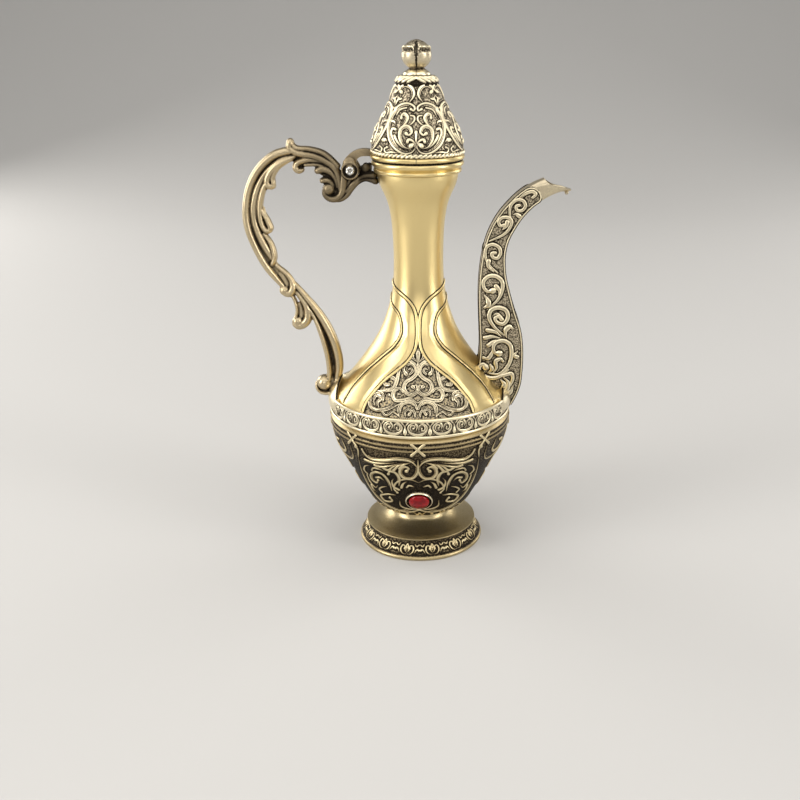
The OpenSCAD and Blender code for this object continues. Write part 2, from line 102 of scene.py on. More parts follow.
class Graph:
    """Node graph of one material."""

    def __init__(self, name: str) -> None:
        """Starts a material with its shader.

        Args:
            name: name of the material.
        """
        self.material = bpy.data.materials.new(name)
        self.material.use_nodes = True
        self.tree = self.material.node_tree
        self.shader = self.tree.nodes["Principled BSDF"]

    def add(self, kind: str, values: dict | None = None, **settings) -> bpy.types.Node:
        """Adds a node.

        Args:
            kind: node type without its "ShaderNode" prefix.
            values: values or links of its inputs by name or number.
            settings: properties of the node itself.

        Returns:
            The new node.
        """
        node = self.tree.nodes.new("ShaderNode" + kind)
        for name, value in settings.items():
            setattr(node, name, value)
        for name, value in (values or {}).items():
            self.put(node.inputs[name], value)
        return node

    def put(self, socket: Socket, value: Value) -> None:
        """Links or sets one input.

        Args:
            socket: the input.
            value: an output to link, or a plain value.
        """
        if isinstance(value, Socket):
            self.tree.links.new(value, socket)
        else:
            socket.default_value = value

    def place(self) -> Socket:
        """Output with each point's place on the pot, in metres."""
        return self.add("TexCoord").outputs["Object"]

    def math(self, operation: str, a: Value, b: Value, clamp: bool = False) -> Socket:
        """Output of a Math node with two values or links, held between 0 and 1 if clamped."""
        node = self.add("Math", {0: a, 1: b}, operation=operation, use_clamp=clamp)
        return node.outputs[0]

    def swing(self, value: Socket, middle: float, gain: float) -> Socket:
        """Output of how far a value is from a middle, multiplied."""
        return self.math("MULTIPLY", self.math("SUBTRACT", value, middle), gain)

    def span(self, value: Socket, low: float, high: float) -> Socket:
        """Output that runs from low to high as value runs from 0 to 1."""
        return self.add("MapRange", {0: value, 3: low, 4: high}).outputs[0]

    def noise(self, place: Socket, scale: float, detail: float) -> Socket:
        """Output of a noise texture with so many cells to the metre."""
        return self.add("TexNoise", {"Vector": place, "Scale": scale, "Detail": detail}).outputs[0]

    def ramp(self, value: Socket, stops: Sequence[float], colours: Sequence[Colour]) -> Socket:
        """Colour output of a ramp.

        Args:
            value: link that runs along the ramp.
            stops: places on the ramp, upwards.
            colours: the colour at each.

        Returns:
            The colour output.
        """
        node = self.add("ValToRGB", {0: value})
        marks = node.color_ramp.elements
        while len(marks) < len(stops):
            marks.new(0.5)
        for mark, place, colour in zip(marks, stops, colours):
            mark.position = place
            mark.color = colour
        return node.outputs[0]

    def shade(self, values: dict) -> Material:
        """Sets inputs of the shader.

        Args:
            values: values or links by name.

        Returns:
            The finished material.
        """
        for name, value in values.items():
            self.put(self.shader.inputs[name], value)
        return self.material


@dataclass(frozen=True)
class Brass:
    """Antique brass: tops rubbed bright, hollows blackened.

    The mesh attribute "patina" says how dark a place is, from 0 to 1: blackening in the hollows,
    and in places painted shade and shadow. `stops` says how dark it is where each of the four
    colours is reached. `gloss` and `dull` are the roughness of tops and hollows; `cloud` and
    `grain` count patches of wear and grains to the metre.
    """

    name: str
    bright: Colour = (0.95, 0.85, 0.6, 1)
    warm: Colour = (0.58, 0.5, 0.35, 1)
    brown: Colour = (0.26, 0.22, 0.155, 1)
    black: Colour = (0.022, 0.017, 0.012, 1)
    stops: tuple[float, ...] = (0.04, 0.28, 0.56, 0.9)
    gloss: float = 0.27
    dull: float = 0.62
    turning: float = 0.0
    stipple: float = 0.0
    age: float = 0.0
    grit: float = 0.22
    cloud: float = 55.0
    grain: float = 1500.0

    def make(self) -> Material:
        """Builds the material.

        Returns:
            The finished material.
        """
        g = Graph(self.name)
        place = g.place()
        patina_and_shade = g.add("Attribute", attribute_name="patina_and_shade").outputs["Fac"]
        cloud = g.noise(place, self.cloud, 3)
        grain = g.noise(place, self.grain, 2)
        punch = g.add("TexVoronoi", {"Vector": place, "Scale": self.grain}, feature="F1")
        pit = g.swing(punch.outputs["Distance"], 0.42, self.stipple)
        pit = g.math("MULTIPLY", pit, g.math("GREATER_THAN", patina_and_shade, 0.3))
        wear = g.math("ADD", g.swing(cloud, 0.5, 0.22), g.swing(grain, 0.5, 0.18))
        total = g.math("ADD", g.math("ADD", patina_and_shade, self.age), wear)
        total = g.math("ADD", total, pit, clamp=True)
        lathe = g.add("Mapping", {"Vector": place, "Scale": (40, 40, 5200)})
        turned = g.noise(lathe.outputs[0], 1, 2)
        rough = g.math("ADD", g.span(total, self.gloss, self.dull),
                       g.swing(turned, 0.5, 0.3 * self.turning))
        depth = g.math("ADD", g.math("MULTIPLY", turned, self.turning),
                       g.math("MULTIPLY", pit, -1.6))
        depth = g.math("ADD", depth, g.math("MULTIPLY", grain, self.grit))
        bump = g.add("Bump", {"Height": depth, "Strength": 0.5, "Distance": 0.00012})
        return g.shade({
            "Base Color": g.ramp(total, self.stops,
                                 (self.bright, self.warm, self.brown, self.black)),
            "Metallic": 1.0,
            "Roughness": rough,
            "Normal": bump.outputs[0],
        })


@dataclass(frozen=True)
class Ruby:
    """Deep red glass with a faint cloud inside."""

    name: str = "ruby_glass"
    light: Colour = (0.30, 0.0, 0.003, 1)
    deep: Colour = (0.16, 0.0, 0.002, 1)

    def make(self) -> Material:
        """Builds the material.

        Returns:
            The finished material.
        """
        g = Graph(self.name)
        cloud = g.noise(g.place(), 420, 2)
        return g.shade({
            "Base Color": g.ramp(cloud, (0.35, 0.62), (self.deep, self.light)),
            "Roughness": g.span(cloud, 0.10, 0.2),
            "IOR": 1.3,
            "Coat Weight": 0.25,
            "Coat Roughness": 0.03,
        })


@dataclass(frozen=True)
class Paper:
    """Matt studio paper for the floor and the wall."""

    name: str = "studio_paper"
    colour: Colour = (0.55, 0.543, 0.53, 1)

    def make(self) -> Material:
        """Builds the material.

        Returns:
            The finished material.
        """
        g = Graph(self.name)
        grain = g.noise(g.place(), 300, 2)
        bump = g.add("Bump", {"Height": grain, "Strength": 0.05, "Distance": 0.0002})
        return g.shade({"Base Color": self.colour, "Roughness": 0.85, "Normal": bump.outputs[0]})


# ---- lines


def through(points: Sequence, step: float, closed: bool = False) -> np.ndarray:
    """Smooth line through points, with samples about a step apart.

    Args:
        points: control points, all with as many numbers each.
        step: distance between samples.
        closed: join the end to the start.

    Returns:
        The samples, one row each.
    """
    p = np.asarray(points, float)
    if closed:
        p = np.vstack([p[-1], p, p[0], p[1]])
    else:
        p = np.vstack([2 * p[0] - p[1], p, 2 * p[-1] - p[-2]])
    rows = []
    for a, b, c, d in zip(p, p[1:], p[2:], p[3:]):
        ta = max(np.linalg.norm((b - a)[:2]), 1e-6) ** 0.5
        tb = max(np.linalg.norm((c - b)[:2]), 1e-6) ** 0.5
        tc = max(np.linalg.norm((d - c)[:2]), 1e-6) ** 0.5
        leave = tb * ((b - a) / ta - (c - a) / (ta + tb) + (c - b) / tb)
        reach = tb * ((c - b) / tb - (d - b) / (tb + tc) + (d - c) / tc)
        count = max(1, int(math.ceil(tb * tb / step)))
        t = np.linspace(0, 1, count, endpoint=False)[:, None]
        h = t * t * (3 - 2 * t)
        rows.append(
            b * (1 - h) + c * h + leave * t * (1 - t) ** 2 - reach * t * t * (1 - t)
        )
    if not closed:
        rows.append(p[-2:-1])
    return np.vstack(rows)


def lengths(line: np.ndarray) -> np.ndarray:
    """Distance along a line at each of its points."""
    return np.concatenate([[0], np.cumsum(np.linalg.norm(np.diff(line[:, :2], axis=0), axis=1))])


def sideways(line: np.ndarray) -> np.ndarray:
    """Unit vectors to the left of a flat line.

    Args:
        line: its points.

    Returns:
        One vector for each point.
    """
    d = np.gradient(line, axis=0)
    d /= np.maximum(np.linalg.norm(d, axis=1), 1e-9)[:, None]
    return np.stack([-d[:, 1], d[:, 0]], 1)


@dataclass
class Turned:
    """Surface turned round the upright axis.

    Attributes:
        knots: heights and radii of the outline, upwards.
        zero: height at which the distance along the outline is 0.
        step: distance between samples.
    """

    knots: Sequence[Flat]
    zero: float
    step: float = 0.5

    def __post_init__(self) -> None:
        """Samples the outline."""
        self.line = through(self.knots, self.step)
        along = lengths(self.line)
        self.z, self.r = self.line[:, 0], self.line[:, 1]
        self.s = along - np.interp(self.zero, self.z, along)
        d = np.gradient(self.line, axis=0)
        d /= np.linalg.norm(d, axis=1)[:, None]
        self.out_r, self.out_z = d[:, 0], -d[:, 1]

    def place(self, flat: np.ndarray, turn: float = 0.0) -> np.ndarray:
        """Lays flat points on the surface.

        Args:
            flat: rows of distance to the right, distance up the surface, and height off it.
            turn: angle to turn round the axis, in degrees.

        Returns:
            The points in space.
        """
        u, s, h = flat.T
        r = np.interp(s, self.s, self.r)
        reach = r + h * np.interp(s, self.s, self.out_r)
        z = np.interp(s, self.s, self.z) + h * np.interp(s, self.s, self.out_z)
        a = u / r + math.radians(turn)
        return np.stack([reach * np.sin(a), -reach * np.cos(a), z], 1)

    def at(self, turn: float) -> Place:
        """The same laying, turned by an angle in degrees."""
        return lambda flat: self.place(flat, turn)

    def around(self, count: int, start: float = 0.0) -> list[Place]:
        """Layings at even turns, the first one so many steps from the front."""
        return [self.at(360 / count * (i + start)) for i in range(count)]

    def read(self, points: np.ndarray) -> tuple[np.ndarray, np.ndarray, np.ndarray]:
        """Angle, distance up the surface, and distance off it, of points in space.

        Args:
            points: rows of x, y and z.

        Returns:
            Angle in radians from the front, distance along, and height off the surface.
        """
        reach = np.hypot(points[:, 0], points[:, 1])
        s = np.interp(points[:, 2], self.z, self.s)
        off = (reach - np.interp(s, self.s, self.r)) * np.interp(s, self.s, self.out_r)
        return np.arctan2(points[:, 0], -points[:, 1]), s, off


@dataclass(frozen=True)
class Stroke:
    """One raised stroke of the ornament, drawn flat.

    Attributes:
        points: its middle line.
        cut: how it swells.
        ball: radius of a ball at its end.
        twin: distance of a thin second line on the inside of its bend.
        scale: factor on its width.
    """

    points: Sequence[Flat]
    cut: Cut = Cut.STEM
    ball: float = 0.0
    twin: float = 0.0
    scale: float = 1.0

    def runs(self, step: float = 0.55) -> list[tuple[np.ndarray, np.ndarray]]:
        """Middle lines and half widths of the stroke and its twin.

        Args:
            step: distance between points.

        Returns:
            A list of (points, half widths).
        """
        line = through(self.points, step)
        half = self.swell(len(line)) * self.scale
        found = [rounded(line, half, self.ball)]
        if self.twin:
            side = sideways(line)
            bend = np.sum(np.cross(side[len(side) // 3:-1], side[len(side) // 3 + 1:]))
            first, last = int(0.12 * len(line)), int(0.86 * len(line))
            inner = (line + side * math.copysign(self.twin, bend))[first:last]
            width = np.minimum(half[first:last] * 0.55, 0.34)
            found.append(rounded(inner, width, 0))
        return found

    def swell(self, count: int) -> np.ndarray:
        """Half widths at evenly spaced points."""
        steps = self.cut.value
        return np.interp(np.linspace(0, 1, count), np.linspace(0, 1, len(steps)), steps)

    def mirrored(self) -> "Stroke":
        """The same stroke on the other side of the middle line."""
        return replace(self, points=tuple((-u, s) for u, s in self.points))


def rounded(line: np.ndarray, half: np.ndarray, ball: float) -> tuple[np.ndarray, np.ndarray]:
    """Adds round ends, the last one swollen to a ball.

    Args:
        line: middle line.
        half: half widths.
        ball: radius at the end, or 0 for none.

    Returns:
        The line and half widths with their ends.
    """
    end = max(ball, half[-1])
    if ball:
        gap = np.linalg.norm(line - line[-1], axis=1)
        near = gap < end
        near[: len(near) // 2] = False
        half = half.copy()
        half[near] = np.maximum(half[near], np.sqrt(np.maximum(end**2 - gap[near] ** 2, 0)))
    turns = np.radians([35, 65, 84])
    ahead, back = (step / max(np.linalg.norm(step), 1e-9)
                   for step in (line[-1] - line[-2], line[0] - line[1]))
    head = line[0] + back * (half[0] * np.sin(turns[::-1]))[:, None]
    tail = line[-1] + ahead * (end * np.sin(turns))[:, None]
    widths = [half[0] * np.cos(turns[::-1]), half, end * np.cos(turns)]
    return np.vstack([head, line, tail]), np.concatenate(widths)


def both(strokes: Sequence[Stroke]) -> list[Stroke]:
    """Strokes, and the mirror images of those that leave the middle line."""
    return [*strokes, *(s.mirrored() for s in strokes if any(u for u, _ in s.points))]


def wider(strokes: Sequence[Stroke], gain: float) -> list[Stroke]:
    """Strokes with their widths and balls multiplied."""
    return [replace(s, scale=s.scale * gain, ball=s.ball * gain**0.5) for s in strokes]


# ---- meshes


def alone(thing: Piece) -> Piece:
    """Makes one object the only selected and the active one.

    Args:
        thing: the object.

    Returns:
        The object.
    """
    for other in bpy.context.selected_objects:
        other.select_set(False)
    thing.select_set(True)
    bpy.context.view_layer.objects.active = thing
    return thing


def from_data(name: str, points: Sequence, edges: Sequence = (), faces: Sequence = ()) -> Piece:
    """New mesh object.

    Args:
        name: its name.
        points: its points.
        edges: pairs of point numbers.
        faces: lists of point numbers.

    Returns:
        The object, linked and selected alone.
    """
    mesh = bpy.data.meshes.new(name)
    mesh.from_pydata([tuple(p) for p in points], edges, faces)
    thing = bpy.data.objects.new(name, mesh)
    bpy.context.scene.collection.objects.link(thing)
    return alone(thing)


def coordinates(thing: Piece) -> np.ndarray:
    """Reads the points of a mesh.

    Args:
        thing: the object.

    Returns:
        One row for each point.
    """
    flat = np.empty(len(thing.data.vertices) * 3)
    thing.data.vertices.foreach_get("co", flat)
    return flat.reshape(-1, 3)


def set_coordinates(thing: Piece, points: np.ndarray) -> None:
    """Moves the points of a mesh."""
    thing.data.vertices.foreach_set("co", points.astype(float).ravel())
    thing.data.update()


def outward() -> None:
    """Turns the selected faces outwards."""
    bpy.ops.mesh.normals_make_consistent(inside=False)


def edit(thing: Piece, *steps: Callable[[], object]) -> Piece:
    """Runs edit-mode steps on all of a mesh.

    Args:
        thing: the object.
        steps: functions that call the operators.

    Returns:
        The object.
    """
    alone(thing)
    bpy.ops.object.mode_set(mode="EDIT")
    bpy.ops.mesh.select_all(action="SELECT")
    for step in steps:
        step()
    bpy.ops.object.mode_set(mode="OBJECT")
    return thing


def apply(thing: Piece, kind: str, **settings) -> Piece:
    """Adds a modifier and applies it.

    Args:
        thing: the object.
        kind: the modifier's type.
        settings: its properties.

    Returns:
        The object.
    """
    alone(thing)
    step = thing.modifiers.new(kind, kind)
    for name, value in settings.items():
        setattr(step, name, value)
    bpy.ops.object.modifier_apply(modifier=step.name)
    return thing


def cut(thing: Piece, *tools: Piece) -> Piece:
    """Takes tools away from a piece, and then removes them.

    Args:
        thing: the piece.
        tools: closed shapes.

    Returns:
        The piece.
    """
    for tool in tools:
        apply(thing, "BOOLEAN", operation="DIFFERENCE", solver="EXACT", object=tool)
        bpy.data.objects.remove(tool)
    return thing


def arc(middle: Flat, radius: float, degrees: Sequence[float], tall: float = 0) -> list[Flat]:
    """Points of a circle's arc, or of an ellipse's.

    Args:
        middle: its middle.
        radius: radius to the side.
        degrees: angle of each point.
        tall: radius upwards, where it is another one.

    Returns:
        The points.
    """
    x, y = middle
    return [(x + radius * math.cos(a), y + (tall or radius) * math.sin(a))
            for a in np.radians(degrees)]


def slab(name: str, outline: Sequence[Flat], half: float) -> Piece:
    """Plate that stands in the middle plane of the pot.

    Args:
        name: its name.
        outline: x and z of its corners.
        half: half its thickness.

    Returns:
        The object.
    """
    plate = from_data(name, [(x, -half, z) for x, z in outline], faces=[range(len(outline))])
    return edit(
        plate,
        lambda: bpy.ops.mesh.extrude_region_move(
            TRANSFORM_OT_translate={"value": (0, 2 * half, 0)}),
        lambda: bpy.ops.mesh.select_all(action="SELECT"),
        outward,
    )


def lay_across(thing: Piece, way: int = 1) -> None:
    """Moves a turned piece to the lid's hinge, its axis across the pot; way -1 turns it round."""
    turn = Matrix.Rotation(way * math.radians(90), 4, "X")
    thing.data.transform(Matrix.Translation((PIN[0], 0, PIN[1])) @ turn)


def spun(name: str, outline: Sequence[Flat], steps: int, closed: bool = True) -> Piece:
    """Piece turned from an outline of radii and heights.

    Args:
        name: its name.
        outline: radius and height of each point.
        steps: points around.
        closed: the outline is a ring.

    Returns:
        The object.
    """
    points = [(r, 0, z) for r, z in outline]
    edges = [(i, i + 1) for i in range(len(points) - 1)]
    if closed:
        edges.append((len(points) - 1, 0))
    thing = from_data(name, points, edges)
    return edit(
        thing,
        lambda: bpy.ops.mesh.spin(
            steps=steps, angle=math.tau, center=(0, 0, 0), axis=(0, 0, 1)),
        lambda: bpy.ops.mesh.remove_doubles(threshold=0.002),
        outward,
    )


def piped(name: str, runs: Sequence[tuple[np.ndarray, np.ndarray]], sides: int = 2) -> Piece:
    """Round bars along lines, as one mesh.

    Args:
        name: its name.
        runs: middle lines and half widths.
        sides: resolution of the section.

    Returns:
        The object.
    """
    curve = bpy.data.curves.new(name, "CURVE")
    curve.dimensions = "3D"
    curve.twist_mode = "Z_UP"
    curve.bevel_depth = 1.0
    curve.bevel_resolution = sides
    curve.use_fill_caps = True
    for line, half in runs:
        spline = curve.splines.new("POLY")
        spline.points.add(len(line) - 1)
        co = np.zeros((len(line), 4))
        co[:, : line.shape[1]] = line
        spline.points.foreach_set("co", co.ravel())
        spline.points.foreach_set("radius", np.maximum(half, 0.03))
    thing = bpy.data.objects.new(name, curve)
    bpy.context.scene.collection.objects.link(thing)
    alone(thing)
    bpy.ops.object.convert(target="MESH")
    return bpy.context.view_layer.objects.active


def set_patina_and_shade(thing: Piece, value: np.ndarray) -> None:
    """Writes how dark each point is.

    Args:
        thing: the object.
        value: one number for each point, kept between 0 and 1.
    """
    marks = thing.data.attributes
    patina_and_shade = marks.get("patina_and_shade") or marks.new("patina_and_shade", "FLOAT", "POINT")
    patina_and_shade.data.foreach_set("value", np.clip(value, 0, 1).astype(np.float32))


class Ornament:
    """Strokes laid on a surface, and the dark marks beside them, blackening with painted shadow."""

    def __init__(self, name: str, strokes: Sequence[Stroke], places: Sequence[Place],
                 flatten: float = 0.85, lift: float = 0.0, rim: float = 0.3,
                 flute: float = 0.0) -> None:
        """Models the strokes once and lays a copy at each place.

        Args:
            name: name of the piece.
            strokes: the strokes of one panel.
            places: where each copy goes.
            flatten: height of a stroke to its half width.
            lift: height of the strokes' middle off the surface.
            rim: width of the dark line along each stroke, blackening with painted shadow.
            flute: depth of the groove along broad strokes, as part of their height.
        """
        runs = [run for stroke in strokes for run in stroke.runs()]
        shore = [(line, half + rim * np.minimum(half / 0.25, 1)) for line, half in runs]
        laid, shown, dark = [], [], []
        for rows, sides, squash, tone in ((runs, 2, flatten, 0.0), (shore, 1, 0.07, 1.0)):
            flat = piped(name, rows, sides)
            points = coordinates(flat)
            tall = points[:, 2].reshape(-1, 4 + 2 * sides)
            crest = tall.max(1, keepdims=True)
            top = (tall > 0.9 * crest) * (1 - tone) * flute * smoothstep(crest, 0.3, 0.55)
            points[:, 2] = (tall * (1 - top)).ravel() * squash + lift
            faces = [list(f.vertices) for f in flat.data.polygons]
            bpy.data.objects.remove(flat)
            for place in places:
                start = sum(map(len, laid))
                laid.append(place(points))
                shown += [[i + start for i in f] for f in faces]
                # Strokes darken towards their foot, and the rim strips are dark all over: blackening with
                # painted shadow beside each stroke.
                dark.append(np.maximum(0.95 - (points[:, 2] - lift) / 0.36, tone) + 0.8 * top.ravel())
        self.piece = from_data(name, np.vstack(laid), faces=shown)
        set_patina_and_shade(self.piece, np.concatenate(dark))
        middle = np.vstack([line for line, _ in runs])
        middle = np.column_stack([middle, np.zeros(len(middle))])
        self.marks = np.vstack([place(middle) for place in places])
        self.half = np.tile(np.concatenate([half for _, half in runs]), len(places))

    def shadow(self, points: np.ndarray, reach: float = 0.5) -> np.ndarray:
        """How near each point is to a stroke's edge, from 1 beside it to 0 away from it.

        Args:
            points: points in space.
            reach: distance at which the mark fades.

        Returns:
            One value a point.
        """
        tree = KDTree(len(self.marks))
        for i, mark in enumerate(self.marks):
            tree.insert(mark, i)
        tree.balance()
        value = np.empty(len(points))
        for i, point in enumerate(points):
            _, found, gap = tree.find(point)
            value[i] = max(gap - self.half[found], 0.0)
        return np.exp(-((value / reach) ** 2))

    def dress(self, body: Body, slot: Slot, finish: Material, node: str) -> None:
        """Finishes the strokes, smooth all over, and hands them to a body."""
        finish_piece(self.piece, body, slot, finish, node, angle=80)


def finish_piece(thing: Piece, body: Body, slot: Slot, finish: Material,
                 *nodes: str, angle: float = 40) -> Piece:
    """Scales a piece to metres, dresses it and hands it to its body.

    Args:
        thing: the piece, in millimetres.
        body: the body it rides on.
        slot: the record's slot; not used.
        finish: its material.
        nodes: CAD nodes it stands for.
        angle: edges sharper than this stay crisp, in degrees.

    Returns:
        The piece.
    """
    thing.data.transform(Matrix.Scale(MM, 4))
    thing.data.materials.clear()
    thing.data.materials.append(finish)
    alone(thing)
    bpy.ops.object.shade_smooth_by_angle(angle=math.radians(angle))
    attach(thing, body.value)
    if nodes:
        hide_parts(*nodes)
    LOG.info("%s: %d faces on %s", thing.name, len(thing.data.polygons), body.value)
    return thing


def nearest(points: np.ndarray, line: np.ndarray) -> np.ndarray:
    """Finds the nearest point of a flat line.

    Args:
        points: flat points.
        line: points of the line.

    Returns:
        For each point, the number of the line's point.
    """
    gap = (line[None, :, 0] - points[:, 0, None]) ** 2
    gap += (line[None, :, 1] - points[:, 1, None]) ** 2
    return gap.argmin(1)


def smoothstep(value: np.ndarray, low: float, high: float) -> np.ndarray:
    """Value that runs smoothly from 0 at low to 1 at high."""
    t = np.clip((value - low) / (high - low), 0, 1)
    return t * t * (3 - 2 * t)


def fade(value: np.ndarray, low: float, high: float) -> np.ndarray:
    """Value that runs smoothly from 1 at low to 0 at high."""
    return smoothstep(-value, -high, -low)


def peak(value: np.ndarray, middle: float, width: float) -> np.ndarray:
    """Value that is 1 at the middle and falls off like a bell."""
    return np.exp(-(((value - middle) / width) ** 2))


def inward(line: np.ndarray, wall: float) -> list[Flat]:
    """Radii and heights of a wall's inside, from the top down.

    Args:
        line: heights and radii of the outside, upwards.
        wall: thickness.

    Returns:
        The inside outline.
    """
    rows = line[:: max(1, len(line) // 28)]
    slope = np.gradient(rows[:, 1], rows[:, 0])
    reach = rows[:, 1] - wall * np.sqrt(1 + slope**2)
    return [(max(r, 0.5), z) for r, z in zip(reach, rows[:, 0])][::-1]


# ---- pot


@dataclass
class Foot:
    """Flared pedestal with a ring of palmettes above a bright bead."""

    outline: tuple[Flat, ...] = (
        (17.2, 14.8), (15, 15.6), (13, 18.2), (11.5, 22), (10.7, 25.4), (10.1, 27.4),
    )
    flank: tuple[Flat, ...] = ((2.4, 29.6), (4, 28.6), (6.4, 26.7), (8.8, 25.8))
    repeats: int = 14
    palmette: tuple[Stroke, ...] = (
        Stroke(((0, 0.6), (-1.6, 0.5), (-2.9, 1.6), (-3.2, 3.3), (-2.3, 4.8), (-1.2, 4.3), (-1.3, 3.1)),
            Cut.STEM, 0.55),
        Stroke(((0, 1.2), (-0.9, 2.4), (-0.7, 4), (0, 5.6))),
        Stroke(((-3.6, 0.4), (-4.4, 2.2), (-5.2, 3), (-5.9, 2.4)), Cut.FROND, 0.5),
        Stroke(((-3.5, 5.8), (-4.6, 4.4), (-5.6, 5.2)), Cut.STEM, 0.45),
        Stroke(((0, 2.4), (0, 3.8)), Cut.WIRE, 0.62),
    )

    def shell(self) -> Piece:
        """Models the turned pedestal.

        Returns:
            The pedestal.
        """
        flare = [(r, z) for z, r in through(self.outline, 0.5)]
        lip = [(27.5, 9.7), (27.1, 9.3), (26.4, 9.05)]
        side = [(r, z) for z, r in through(self.flank[::-1], 0.4)]
        bead = arc((29.95, 1.1), 1.05, (60, 30, 0, -30, -60, -85), 1.1)
        under = [(28.62, 0.0), (28.62, 1.2), (27.6, 2), (25.8, 3.4), (24.2, 6), (23.4, 8.4),
                 (17.6, 11.5), (14.2, 13.6), (13.3, 17.2)]
        return spun("turned_foot", flare + lip + side + bead + under, 288)

    def build(self, finish: Material) -> None:
        """Makes the foot and its ornament.

        Args:
            finish: its brass.
        """
        shell = self.shell()
        surface = Turned(self.flank, 2.4, 0.3)
        ring = Ornament("foot_palmettes", both(self.palmette), surface.around(self.repeats, 0.5))
        points = coordinates(shell)
        _, _, off = surface.read(points)
        z = points[:, 2]
        face = (np.abs(off) < 0.3) & (z > 2.2) & (z < 8.9)
        patina_and_shade = np.where(face, 0.62 + 0.35 * ring.shadow(points), 0.12)
        patina_and_shade += 0.5 * peak(z, 9.15, 0.35) + 0.5 * peak(z, 2.35, 0.3)
        set_patina_and_shade(shell, patina_and_shade)
        finish_piece(shell, Body.POT, Slot.DARK, finish, "foot")
        ring.dress(Body.POT, Slot.DARK, finish, "foot")


